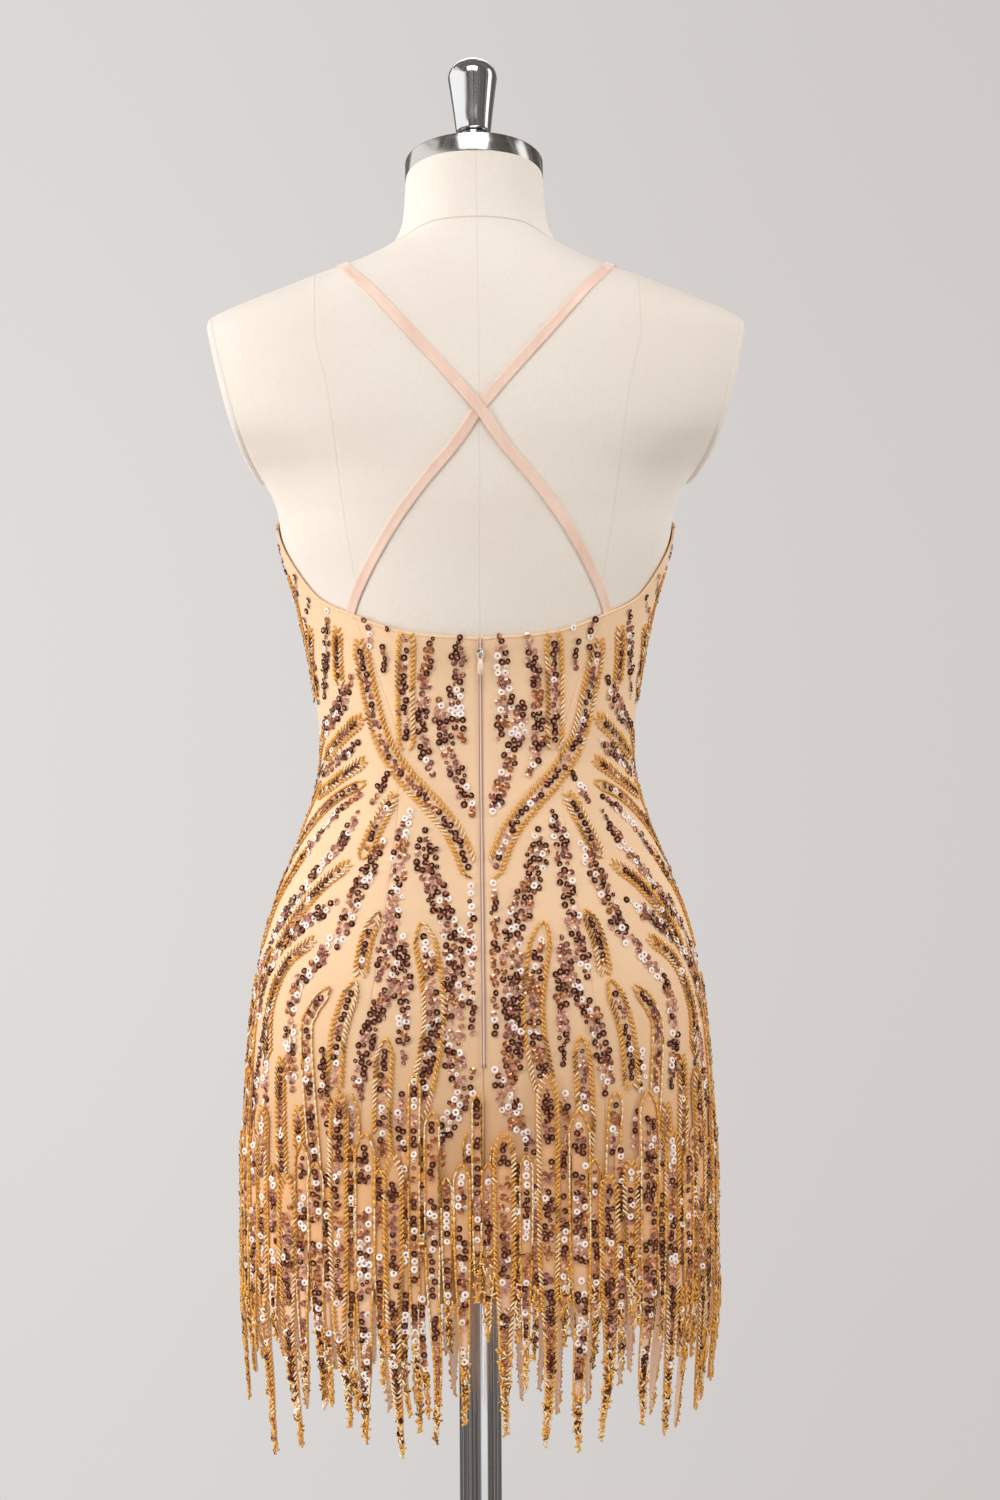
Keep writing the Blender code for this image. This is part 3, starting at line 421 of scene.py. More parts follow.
def smooth_curve(points):
    """A function through (place, value) points, smooth and without overshoot."""
    places, values = np.array(points, float).T
    steps = np.diff(places)
    slopes = np.diff(values) / steps
    before, after = slopes[:-1], slopes[1:]
    turning = before * after <= 0
    inner = 2 * before * after / np.where(turning, 1.0, before + after)
    tangents = np.concatenate([slopes[:1], np.where(turning, 0.0, inner), slopes[-1:]])

    def curve(place):
        place = np.clip(place, places[0], places[-1])
        index = np.minimum(np.searchsorted(places, place, side="right"), len(steps)) - 1
        step = steps[index]
        t = (place - places[index]) / step
        start = (1 + 2 * t) * (1 - t) ** 2 * values[index] + t * (1 - t) ** 2 * step * tangents[index]
        end = t * t * (3 - 2 * t) * values[index + 1] + t * t * (t - 1) * step * tangents[index + 1]
        return start + end

    return curve


def figure_column(name):
    columns = dict(zip(FIGURE_COLUMNS, np.array(FIGURE).T))
    return smooth_curve(np.stack([columns["height"], columns[name]], axis=1))


figure_width = figure_column("width")
figure_trunk = figure_column("trunk")
figure_back = figure_column("back")
figure_front = figure_column("front")
figure_tilt = figure_column("tilt")
princess_half_width = smooth_curve(PRINCESS_SEAM)
back_edge = smooth_curve(BACK_EDGE)
front_edge = smooth_curve(FRONT_EDGE)
strap_path = smooth_curve(STRAP_PATH)


def blend(start, end, share):
    return start + (end - start) * share


def smooth_step(value, low, high):
    share = np.clip((value - low) / (high - low), 0.0, 1.0)
    return share * share * (3 - 2 * share)


def unit(vectors):
    return vectors / np.linalg.norm(vectors, axis=-1, keepdims=True)


def through(points, steps):
    """A smooth line through points, with this many steps to a span."""
    knots = np.array(points, float)
    knots = np.concatenate([2 * knots[:1] - knots[1:2], knots, 2 * knots[-1:] - knots[-2:-1]])
    t = np.arange(steps)[:, None] / steps
    spans = []
    for a, b, c, d in zip(knots, knots[1:], knots[2:], knots[3:]):
        spans.append(b + t * (c - a) / 2 + t ** 2 * (a - 2.5 * b + 2 * c - d / 2)
                     + t ** 3 * (-a + 3 * b - 3 * c + d) / 2)
    return np.concatenate(spans + [knots[-2:-1]])


# ---- The figure's surface ------------------------------------------------------------------

def bust(sideways, height):
    spread = np.where(height > BUST_HEIGHT, BUST_SPREAD_UP, BUST_SPREAD)
    across = (np.abs(sideways) - BUST_APART) / BUST_SPREAD
    along = (height - BUST_HEIGHT) / spread
    return BUST_RISE * np.exp(-(across * across + along * along) / 2)


def figure_point(angle, height, with_arms=False):
    """Points of the figure; with_arms spreads the section over the stubs of the arms."""
    cosine, sine = np.cos(angle), np.sin(angle)
    half_width = figure_width(height)
    reach = half_width if with_arms else figure_trunk(height)
    x = np.sign(cosine) * np.abs(cosine) ** (2 / SQUARENESS) * reach
    inside = 1 - np.minimum(1.0, np.abs(x) / half_width) ** SQUARENESS
    back, front = figure_back(height), figure_front(height)
    centre = (back - front) / 2
    y = centre + np.sign(sine) * (back + front) / 2 * inside ** (1 / SQUARENESS)
    y = y + np.where(sine < 0, sine * bust(x, height), 0.0)
    z = height + (y - centre) * np.tan(np.radians(figure_tilt(height)))
    return np.stack([x, y, z], -1)


def ease(height):
    return STRAP_POINT_EASE * smooth_step(height, *STRAP_POINT_RISE)


def angle_at(sideways, height):
    """The angle, on the left half of the back, of a point this far from the middle."""
    share = np.minimum(1.0, np.abs(sideways) / figure_trunk(height))
    return np.arccos(share ** (SQUARENESS / 2))


def top_edge(angle):
    turned = np.degrees(angle) % 360
    from_side = np.minimum(turned % 180, 180 - turned % 180)
    return np.where(turned < 180, back_edge(from_side), front_edge(from_side))


def relief(angle, height):
    """How far the cloth's creases and the fold beside the zip rise above its plain form."""
    angle, height = np.broadcast_arrays(angle, height)
    total = np.zeros(angle.shape)
    radius = figure_trunk(height)
    for degrees, level, half_length, half_width, lean, depth in CREASES:
        turn = (angle - math.radians(degrees) + math.pi) % (2 * math.pi) - math.pi
        along = turn * radius
        up = height - level - lean * along
        total += depth * np.exp(-(along / half_length) ** 2 - (up / half_width) ** 2)
    beside = (angle - math.pi / 2 + math.pi) % (2 * math.pi) - math.pi
    place, half_width, rise = ZIP_FOLD
    fold = rise * np.exp(-((np.abs(beside) * radius - place) / half_width) ** 2)
    return total + fold * smooth_step(height, ZIP_BOTTOM - 0.02, ZIP_BOTTOM)


def figure_frame(angle, height):
    """The figure's steps round and up at a point, and the unit vector out of it."""
    around = figure_point(angle + TURN_STEP, height) - figure_point(angle - TURN_STEP, height)
    upward = figure_point(angle, height + RISE_STEP) - figure_point(angle, height - RISE_STEP)
    return around, upward, unit(np.cross(around, upward))


def cloth_frame(angle, height, lift):
    """Points off the figure, unit vectors round, up and out, and the metres to an angle or height."""
    angle, height = np.broadcast_arrays(np.asarray(angle, float), np.asarray(height, float))
    around, upward, outward = figure_frame(angle, height)
    raised = lift + ease(height) + relief(angle, height)
    point = figure_point(angle, height) + outward * raised[..., None]
    scales = (np.linalg.norm(around, axis=-1) / (2 * TURN_STEP),
              np.linalg.norm(upward, axis=-1) / (2 * RISE_STEP))
    return point, unit(around), unit(upward), outward, scales


def run_along(points):
    """The distance along a line, at each of its points."""
    return np.concatenate([[0.0], np.cumsum(np.linalg.norm(np.diff(points, axis=0), axis=1))])


# ---- Making meshes -------------------------------------------------------------------------

def add_object(name, data):
    piece = bpy.data.objects.new(name, data)
    bpy.context.scene.collection.objects.link(piece)
    return piece


def mesh_object(name, points, faces, material):
    mesh = bpy.data.meshes.new(name)
    mesh.from_pydata(np.asarray(points, float).reshape(-1, 3).tolist(), [], faces)
    mesh.materials.append(material)
    mesh.validate()
    mesh.shade_smooth()
    return add_object(name, mesh)


def sharpen(piece, degrees):
    piece.data.set_sharp_from_angle(angle=math.radians(degrees))


def fix_normals(piece):
    shape = bmesh.new()
    shape.from_mesh(piece.data)
    bmesh.ops.recalc_face_normals(shape, faces=shape.faces)
    shape.to_mesh(piece.data)
    shape.free()


def circle(sides):
    """Cosine and sine at even turns."""
    turns = 2 * math.pi * np.arange(sides) / sides
    return np.cos(turns), np.sin(turns)


def grid_faces(columns, rows, start=0, wrap=(), flip=False):
    """Faces of a grid of points, column by column; wrap names what comes round to its start."""
    faces = []
    for c in range(columns - ("columns" not in wrap)):
        here, there = start + c * rows, start + (c + 1) % columns * rows
        for r in range(rows - ("rows" not in wrap)):
            after = (r + 1) % rows
            face = (here + r, there + r, there + after, here + after)
            faces.append(face[::-1] if flip else face)
    return faces


def shell_faces(columns, rows, start=0):
    """Faces of a thin closed shell: a grid of points, the same grid further in, and the rim."""
    size = columns * rows
    rim = ([c * rows for c in range(columns)] + [(columns - 1) * rows + r for r in range(1, rows)]
           + [c * rows + rows - 1 for c in range(columns - 2, -1, -1)] + list(range(rows - 2, 0, -1)))
    faces = grid_faces(columns, rows, start) + grid_faces(columns, rows, start + size, flip=True)
    for here, there in zip(rim, rim[1:] + rim[:1]):
        faces.append((start + there, start + here, start + here + size, start + there + size))
    return faces


def sheet_object(name, outer, inner, material):
    """A closed thin shell between two grids of points of the same size."""
    points = np.concatenate([outer.reshape(-1, 3), inner.reshape(-1, 3)])
    return mesh_object(name, points, shell_faces(*outer.shape[:2]), material)


def tube_object(name, rings, material, joined=False):
    """A tube through rings of points, with flat ends or joined to its own start."""
    count, sides = len(rings), len(rings[0])
    faces = grid_faces(count, sides, wrap=("rows", "columns") if joined else ("rows",))
    if not joined:
        faces += [tuple(range(sides))[::-1], tuple(range((count - 1) * sides, count * sides))]
    piece = mesh_object(name, rings, faces, material)
    fix_normals(piece)
    return piece


def turned_object(name, profile, sides, material, place=None):
    """A solid of revolution about local Z, from (radius, height) points, axis to axis."""
    points, rings, faces = [], [], []
    for radius, height in profile:
        count = 1 if radius == 0 else sides
        rings.append(range(len(points), len(points) + count))
        points += [(radius * cosine, radius * sine, height) for cosine, sine in zip(*circle(count))]
    for low, high in zip(rings, rings[1:]):
        for index in range(sides):
            after = (index + 1) % sides
            face = [low[index % len(low)], low[after % len(low)],
                    high[after % len(high)], high[index % len(high)]]
            faces.append(tuple(dict.fromkeys(face)))
    piece = mesh_object(name, points, faces, material)
    fix_normals(piece)
    sharpen(piece, 40)
    if place:
        piece.data.transform(place)
    return piece


def rounded(profile, radius, steps=3):
    """A turned profile with its corners eased, axis ends kept."""
    points = [Vector(point) for point in profile]
    made = [tuple(points[0])]
    for before, corner, after in zip(points, points[1:], points[2:]):
        reach = min(radius, (before - corner).length / 2, (after - corner).length / 2)
        start = corner + (before - corner).normalized() * reach
        end = corner + (after - corner).normalized() * reach
        for step in range(steps + 1):
            t = step / steps
            made.append(tuple(start * (1 - t) ** 2 + corner * 2 * t * (1 - t) + end * t * t))
    made.append(tuple(points[-1]))
    return made


# ---- Materials -----------------------------------------------------------------------------

def feed(tree, socket, value):
    """Links another node's socket, or sets a plain number or colour."""
    if isinstance(value, bpy.types.NodeSocket):
        tree.links.new(value, socket)
    else:
        socket.default_value = (*value, 1.0) if isinstance(value, tuple) else value


def new_material(name, **inputs):
    """A Principled material whose plain values sit on the shader's own sockets."""
    material = bpy.data.materials.new(name)
    material.use_nodes = True
    tree = material.node_tree
    shader = tree.nodes["Principled BSDF"]
    for key, value in inputs.items():
        feed(tree, shader.inputs[key.replace("_", " ")], value)
    return material, tree, shader


def add_node(tree, kind, settings=None, **inputs):
    node = tree.nodes.new(kind)
    for key, value in (settings or {}).items():
        setattr(node, key, value)
    for key, value in inputs.items():
        node.inputs[key].default_value = value
    return node


def coordinates(tree, kind="Object"):
    return tree.nodes.new("ShaderNodeTexCoord").outputs[kind]


def parts_of(tree, vector):
    """The X, Y and Z of a vector."""
    separate = tree.nodes.new("ShaderNodeSeparateXYZ")
    feed(tree, separate.inputs[0], vector)
    return tuple(separate.outputs)


def noise(tree, scale, detail=3.0, stretch=None):
    """A noise texture over the object, with its cells stretched by three factors."""
    node = add_node(tree, "ShaderNodeTexNoise", Scale=scale, Detail=detail)
    place = coordinates(tree)
    if stretch:
        mapping = add_node(tree, "ShaderNodeMapping", Scale=stretch)
        feed(tree, mapping.inputs["Vector"], place)
        place = mapping.outputs["Vector"]
    feed(tree, node.inputs["Vector"], place)
    return node.outputs["Fac"]


def ramp(tree, source, stops):
    """A colour ramp from (place, colour) stops."""
    node = tree.nodes.new("ShaderNodeValToRGB")
    elements = node.color_ramp.elements
    while len(elements) < len(stops):
        elements.new(0.5)
    for element, (place, colour) in zip(elements, stops):
        element.position = place
        element.color = (*colour, 1.0)
    feed(tree, node.inputs["Fac"], source)
    return node.outputs["Color"]


def mix_colour(tree, share, first, second):
    node = add_node(tree, "ShaderNodeMix", {"data_type": "RGBA"})
    for index, value in ((0, share), (6, first), (7, second)):
        feed(tree, node.inputs[index], value)
    return node.outputs[2]


def maths(tree, operation, first, second=0.0):
    node = add_node(tree, "ShaderNodeMath", {"operation": operation})
    feed(tree, node.inputs[0], first)
    feed(tree, node.inputs[1], second)
    return node.outputs[0]


def times(tree, first, second):
    return maths(tree, "MULTIPLY", first, second)


def span(tree, source, low, high, to_low=0.0, to_high=1.0):
    """A smooth step of a value from one range to another."""
    node = add_node(tree, "ShaderNodeMapRange", {"interpolation_type": "SMOOTHSTEP"},
                    **{"From Min": low, "From Max": high, "To Min": to_low, "To Max": to_high})
    feed(tree, node.inputs["Value"], source)
    return node.outputs["Result"]


def within(tree, value, low, high, soft):
    """1 between two values and 0 outside them, with soft ends."""
    return times(tree, span(tree, value, low - soft, low + soft),
                 span(tree, value, high - soft, high + soft, 1.0, 0.0))


def bump(tree, shader, height, strength, distance):
    node = add_node(tree, "ShaderNodeBump", Strength=strength, Distance=distance)
    feed(tree, node.inputs["Height"], height)
    feed(tree, shader.inputs["Normal"], node.outputs["Normal"])


def weave(tree, pitch):
    """The height of a plain weave: fine waves up and across."""
    x, y, z = parts_of(tree, coordinates(tree))
    turns = 2 * math.pi / pitch
    warp = maths(tree, "SINE", times(tree, maths(tree, "ADD", x, times(tree, y, 0.7)), turns))
    return times(tree, warp, maths(tree, "SINE", times(tree, z, turns)))


def linen_material():
    """Cream linen with its seams as fine pressed lines."""
    material, tree, shader = new_material("form_linen", Roughness=0.88, Sheen_Weight=0.12,
                                          Sheen_Roughness=0.5, Specular_IOR_Level=0.25)
    slub = noise(tree, 900.0, 2.0, (1.0, 1.0, 0.25))
    base = ramp(tree, noise(tree, 6.0), ((0.3, (0.82, 0.735, 0.648)), (0.7, (0.88, 0.80, 0.715))))
    threads = mix_colour(tree, span(tree, slub, 0.35, 0.7, 0.0, 0.22), base, (0.72, 0.655, 0.56))
    distances = [add_node(tree, "ShaderNodeAttribute", {"attribute_name": seam}) for seam in SEAMS]
    princess, middle, collar = (maths(tree, "ABSOLUTE", node.outputs["Fac"]) for node in distances)
    nearness = maths(tree, "MINIMUM", princess, maths(tree, "MINIMUM", middle, collar))
    stitch = span(tree, nearness, 0.0002, 0.0009, 1.0, 0.0)
    ridge = span(tree, nearness, 0.0008, 0.0050, 1.0, 0.0)
    pressed = mix_colour(tree, times(tree, stitch, 0.20), threads, (0.66, 0.54, 0.42))
    collar_line = span(tree, collar, 0.0003, 0.0009, 0.35, 0.0)
    feed(tree, shader.inputs["Base Color"], mix_colour(tree, collar_line, pressed, (0.36, 0.29, 0.24)))
    fabric = maths(tree, "ADD", times(tree, weave(tree, 0.0011), 0.22), times(tree, slub, 0.5))
    seams = maths(tree, "SUBTRACT", times(tree, ridge, 0.6), times(tree, stitch, 1.2))
    bump(tree, shader, maths(tree, "ADD", fabric, seams), 0.28, 0.0006)
    return material


def metal_material(name, colour, roughness, brushed=False):
    """Polished or turned and brushed metal."""
    material, tree, shader = new_material(name, Metallic=1.0)
    grain = noise(tree, 30.0, 4.0, (1.0, 1.0, 60.0)) if brushed else noise(tree, 9.0, 4.0, (3.0, 3.0, 0.6))
    feed(tree, shader.inputs["Roughness"], span(tree, grain, 0.3, 0.7, roughness * 0.8, roughness * 1.25))
    darker = tuple(part * 0.86 for part in colour)
    feed(tree, shader.inputs["Base Color"], ramp(tree, grain, ((0.3, darker), (0.7, colour))))
    if brushed:
        bump(tree, shader, grain, 0.08, 0.0004)
    return material


def cloth_material(name, light, deep, sheen, heights):
    """Smooth lining under fine net, deeper in colour towards the lower of two heights."""
    material, tree, shader = new_material(name, Roughness=0.62, Sheen_Weight=sheen, Sheen_Roughness=0.35,
                                          Specular_IOR_Level=0.35)
    height = parts_of(tree, coordinates(tree))[2]
    base = mix_colour(tree, span(tree, height, *heights, 1.0, 0.0), light, deep)
    cloud = span(tree, noise(tree, 14.0), 0.35, 0.65, 0.0, 0.16)
    tint = mix_colour(tree, cloud, base, tuple(0.8 * part for part in light))
    mesh_net = weave(tree, 0.0013)
    net = mix_colour(tree, span(tree, mesh_net, -0.2, 0.8, 0.0, 0.14), tint, (0.98, 0.88, 0.74))
    feed(tree, shader.inputs["Base Color"], net)
    bump(tree, shader, maths(tree, "ADD", times(tree, mesh_net, 0.5), noise(tree, 700.0, 2.0)), 0.18, 0.0003)
    return material


def satin_material():
    material, tree, shader = new_material("strap_satin", Roughness=0.36, Sheen_Weight=0.25,
                                          Sheen_Roughness=0.3, Anisotropic=0.5)
    cloud = noise(tree, 60.0, 3.0, (1.0, 1.0, 0.3))
    feed(tree, shader.inputs["Base Color"],
         ramp(tree, cloud, ((0.3, (0.83, 0.57, 0.45)), (0.7, (0.93, 0.69, 0.56)))))
    bump(tree, shader, noise(tree, 1500.0, 2.0, (1.0, 1.0, 0.2)), 0.12, 0.0002)
    return material


def glossy_material(name, dark, light, roughness, metallic, coat, scale=400.0):
    """A bead's or sequin's finish, which changes a little from one to the next."""
    material, tree, shader = new_material(name, Metallic=metallic, Coat_Weight=coat, Coat_Roughness=0.12)
    change = noise(tree, scale, 1.0)
    feed(tree, shader.inputs["Base Color"], ramp(tree, change, ((0.35, dark), (0.65, light))))
    feed(tree, shader.inputs["Roughness"], span(tree, change, 0.3, 0.7, roughness * 0.8, roughness * 1.3))
    return material


def zip_material():
    """The zip's folded edges: a light fold in the middle between two mauve lines."""
    material, tree, shader = new_material("zip_tape", Roughness=0.6, Sheen_Weight=0.15)
    x, _, z = parts_of(tree, coordinates(tree))
    away = maths(tree, "ABSOLUTE", x)
    line = times(tree, span(tree, away, 0.0004, 0.0008), span(tree, away, 0.0011, 0.0016, 1.0, 0.3))
    feed(tree, shader.inputs["Base Color"], mix_colour(tree, line, (0.86, 0.62, 0.47), (0.36, 0.20, 0.165)))
    bump(tree, shader, maths(tree, "SINE", times(tree, z, 6300.0)), 0.3, 0.0002)
    return material


# Dark and light colour, roughness, metallic, coat, and where it isn't 400 the scale of the change.
GLOSSY_FINISHES = {
    # The espresso tone is a painted dark reflection and the pale tone a painted highlight, both on sequins of
    # one rose-gold finish.
    "sequin_painted_dark_reflection": ((0.075, 0.014, 0.008), (0.22, 0.050, 0.030), 0.16, 0.75, 0.15),
    "sequin_mauve": ((0.34, 0.105, 0.08), (0.60, 0.25, 0.20), 0.16, 0.7, 0.25),
    "sequin_copper": ((0.42, 0.115, 0.04), (0.78, 0.32, 0.14), 0.16, 0.7, 0.4),
    "sequin_rose": ((0.60, 0.26, 0.17), (0.90, 0.52, 0.40), 0.24, 0.5, 0.4),
    "sequin_painted_highlight": ((1.0, 0.84, 0.77), (1.0, 0.96, 0.93), 0.25, 0.0, 0.5),
    "seed_beads": ((0.42, 0.15, 0.05), (0.80, 0.42, 0.14), 0.25, 0.3, 0.3),
    "bugle_gold": ((0.80, 0.34, 0.035), (1.0, 0.56, 0.11), 0.22, 0.3, 0.4),
    # A bugle's silver line is partly its lining and partly a painted glint; its dark line is a painted dark
    # reflection.
    "bugle_silver_line_painted_glint": ((0.95, 0.72, 0.36), (1.0, 0.94, 0.76), 0.2, 0.1, 0.4),
    "bugle_painted_dark_reflection": ((0.05, 0.03, 0.015), (0.20, 0.12, 0.04), 0.25, 0.5, 0.3),
    "pull_enamel": ((0.80, 0.63, 0.47), (0.88, 0.73, 0.58), 0.3, 0.0, 0.5, 90.0),
}


def make_materials():
    made = {name: glossy_material(name, *finish) for name, finish in GLOSSY_FINISHES.items()}
    made["linen"] = linen_material()
    made["steel"] = metal_material("brushed_steel", (0.60, 0.57, 0.55), 0.16, brushed=True)
    made["chrome"] = metal_material("chrome", (0.74, 0.74, 0.75), 0.08)
    made["zip_metal"] = metal_material("zip_metal", (0.70, 0.68, 0.66), 0.18)
    # The dress cloth darkens towards the hem: partly its deeper lining, partly painted shade.
    made["cloth"] = cloth_material("dress_cloth", (0.92, 0.62, 0.375), (0.66, 0.34, 0.135), 0.20,
                                   (0.66, 0.91))
    made["net"] = cloth_material("fringe_net", (0.84, 0.45, 0.205), (1.0, 0.70, 0.52), 0.35,
                                 (0.58, 0.68))
    made["satin"] = satin_material()
    made["zip_tape"] = zip_material()
    return made


# ---- The dress form ------------------------------------------------------------------------

def finish_piece(piece, slot, *nodes, body="dress_on_form"):
    """Every piece rides on a body and may stand for solids; the slot is not used."""
    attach(piece, body)
    if nodes:
        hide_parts(*nodes)
    return piece


def place_arm(side):
    """Local +X points out of the arm's cut plane; side is 1 on the left and -1 on the right."""
    sideways, height = ARM_PLANE
    turn = -ARM_TURN if side > 0 else math.pi + ARM_TURN
    leaning = Matrix.Rotation(side * ARM_LEAN, 4, "Y")
    return Matrix.Translation((side * sideways, 0, height)) @ leaning @ Matrix.Rotation(turn, 4, "Z")


def set_seam(piece, name, distances):
    """The distance to a seam at each point, which the material draws as a pressed line."""
    layer = piece.data.attributes.new(name, "FLOAT", "POINT")
    layer.data.foreach_set("value", np.asarray(distances, np.float32))


def build_form(materials):
    """The linen cover of the torso with its seams, and the plates on its arms' cuts."""
    heights = np.unique(np.concatenate([np.linspace(*band) for band in FORM_BANDS]))
    turns = np.arange(FORM_SIDES) * 2 * math.pi / FORM_SIDES
    grid = figure_point(turns[:, None], heights[None, :], True)
    rows = len(heights)
    faces = grid_faces(FORM_SIDES, rows, wrap=("columns",))
    faces.append(tuple(c * rows for c in range(FORM_SIDES))[::-1])
    faces.append(tuple(c * rows + rows - 1 for c in range(FORM_SIDES)))
    cover = mesh_object("form_cover", grid, faces, materials["linen"])
    shape = bmesh.new()
    shape.from_mesh(cover.data)
    bmesh.ops.recalc_face_normals(shape, faces=shape.faces)
    for side, word in ((1, "left"), (-1, "right")):
        place = place_arm(side)
        normal = (place.to_3x3() @ Vector((1, 0, 0))).normalized()
        stub = [face for face in shape.faces if face.calc_center_median().z > ARM_CUT_ABOVE
                and side * face.calc_center_median().x > ARM_CUT_BEYOND]
        nearby = {part for face in stub for part in (*face.verts, *face.edges)}
        cut = bmesh.ops.bisect_plane(shape, geom=stub + list(nearby), plane_co=place.translation,
                                     plane_no=normal, clear_outer=True)
        edges = [item for item in cut["geom_cut"] if isinstance(item, bmesh.types.BMEdge)]
        build_arm_plate(word, np.array(ordered_loop(edges)), np.array(normal), materials)
        bmesh.ops.contextual_create(shape, geom=edges)
    shape.to_mesh(cover.data)
    shape.free()
    cover.data.shade_smooth()
    sharpen(cover, 45)
    x, y, z = np.array([vertex.co for vertex in cover.data.vertices], np.float32).T
    set_seam(cover, "princess", np.abs(x) - smooth_curve(SHOULDER_SEAM)(z) + 0.2 * (z > 1.41))
    set_seam(cover, "middle", x)
    set_seam(cover, "collar", z - smooth_curve(COLLAR)(x / COLLAR_REACH) - y * math.tan(NECK_TILT) * 0.55)
    finish_piece(cover, "form_linen", "form_torso")


def ordered_loop(edges):
    """The points of a closed ring of edges, in order."""
    ahead = {}
    for edge in edges:
        first, second = edge.verts
        for here, there in ((first, second), (second, first)):
            ahead.setdefault(here, []).append(there)
    start = here = edges[0].verts[0]
    before, points = None, []
    while True:
        points.append(tuple(here.co))
        following = [vertex for vertex in ahead[here] if vertex is not before][0]
        before, here = here, following
        if here is start:
            return points


def build_arm_plate(word, ring, outward, materials):
    """A domed plate with a rounded rim and the outline of the arm's cut."""
    edge_share = ARM_PLATE_RINGS[-1][0]
    layers = [(share, edge * ARM_PLATE_EDGE) for share, edge in ARM_PLATE_RINGS]
    for step in range(1, ARM_DOME_RINGS):
        share = edge_share * math.cos(math.pi / 2 * step / ARM_DOME_RINGS)
        layers.append((share, ARM_PLATE_EDGE + (ARM_PLATE_DOME - ARM_PLATE_EDGE) * (1 - share ** 2)))
    middle = ring.mean(axis=0)
    rings = [middle + (ring - middle) * share + outward * (SEAM_GAP + rise) for share, rise in layers]
    plate = tube_object("form_arm_cover_" + word, rings, materials["linen"])
    sharpen(plate, 60)
    for seam in SEAMS:
        set_seam(plate, seam, np.ones(len(plate.data.vertices)))
    finish_piece(plate, "form_linen", "form_arm_plate_" + word)


def build_metalwork(materials):
    """The neck cap, the knob, the pole and the base."""
    centre = float(figure_back(NECK_TOP) - figure_front(NECK_TOP)) / 2
    tilted = Matrix.Translation((0, centre, NECK_TOP)) @ Matrix.Rotation(NECK_TILT, 4, "X")
    radius, edge, rise = KNOB_DOME
    dome = [(radius * math.cos(turn), edge + rise * math.sin(turn))
            for turn in np.radians(np.arange(3, 90, 6))]
    side = [tuple(point) for point in through(KNOB_SIDE, 5)]
    knob_profile = [(0, 0), (KNOB_FOOT, 0), *side, *dome, (0, edge + rise)]
    low, high = BASE_THICKNESS + SEAM_GAP, TORSO_BOTTOM - SEAM_GAP
    pole_profile = ((0, low), (POLE_RADIUS, low), (POLE_RADIUS, high), (0, high))
    on_neck = tilted @ Matrix.Translation((0, 0, SEAM_GAP))
    above_cap = tilted @ Matrix.Translation((0, 0, CAP_PROFILE[-1][1] + 2 * SEAM_GAP))
    for name, profile, sides, material, place, slot, node in (
        ("neck_cap", rounded(CAP_PROFILE, CAP_ROUNDING), 128, "steel", on_neck, "neck_cap_steel",
         "form_neck_cap"),
        ("knob", knob_profile, 96, "chrome", above_cap, "stand_chrome", "form_finial"),
        ("base_plate", rounded(BASE_PROFILE, BASE_ROUNDING), 160, "chrome", None, "stand_chrome",
         "form_base"),
        ("pole", pole_profile, 96, "chrome", None, "stand_chrome", "form_pole"),
    ):
        finish_piece(turned_object(name, profile, sides, materials[material], place), slot, node)


# ---- The dress -----------------------------------------------------------------------------

def seam_at(degrees):
    """An upright seam at one angle, as a function of height."""
    return lambda height: np.full_like(height, math.radians(degrees))


def princess_left(height):
    return angle_at(princess_half_width(height), height)


def princess_right(height):
    return math.pi - princess_left(height)


PANELS = (
    ("side_back_left", seam_at(0), princess_left),
    ("centre_back_left", princess_left, seam_at(90)),
    ("centre_back_right", seam_at(90), princess_right),
    ("side_back_right", princess_right, seam_at(180)),
    ("front", seam_at(180), seam_at(360)),
)


def panel_grid(first_seam, last_seam):
    """Angles and heights of a panel's grid, closer together beside its seams."""
    middle_height = np.array([0.85])
    width = float((last_seam(middle_height) - first_seam(middle_height))[0] * BODY_RADIUS)
    near = np.array(NEAR_SEAM) / width
    inner = np.linspace(near[-1], 1 - near[-1], max(4, round(width / GRID)))
    share = np.concatenate([near[:-1], inner, 1 - near[-2::-1]])
    lower = np.linspace(HEM, YOKE, round((YOKE - HEM) / GRID))
    top = np.full_like(share, YOKE)
    for _ in range(6):
        top = top_edge(blend(first_seam(top), last_seam(top), share))
    rise = np.linspace(0, 1, 27)[1:]
    heights = np.concatenate([np.tile(lower, (len(share), 1)), YOKE + rise * (top[:, None] - YOKE)], axis=1)
    angles = blend(first_seam(heights), last_seam(heights), share[:, None])
    from_seam = np.minimum(share, 1 - share)[:, None] * width * np.ones_like(heights)
    return angles, heights, from_seam


def build_panels(materials):
    """The panels as thin shells that dip into their seams."""
    shells = {}
    for name, first_seam, last_seam in PANELS:
        angles, heights, from_seam = panel_grid(first_seam, last_seam)
        gap = SEAM_GAP / 8 * np.exp(-from_seam / SEAM_EASE)
        middle = (angles[:1] + angles[-1:]) / 2
        angles = angles + np.sign(middle - angles) * gap / BODY_RADIUS
        dip = SEAM_DIP * np.exp(-(from_seam / SEAM_DIP_REACH) ** 2)
        outer, _, _, outward, _ = cloth_frame(angles, heights, CLOTH_LIFT)
        outer = outer - outward * dip[..., None]
        folds = relief(angles, heights)[..., None]
        plain = cloth_frame(angles, heights, FORM_GAP)[0]
        inner = np.where(folds < 0, plain, plain - outward * (folds * 0.6))
        shell = sheet_object("cloth_" + name, outer, inner, materials["cloth"])
        shells[name] = finish_piece(shell, "dress_cloth", "dress_" + name)
    return shells


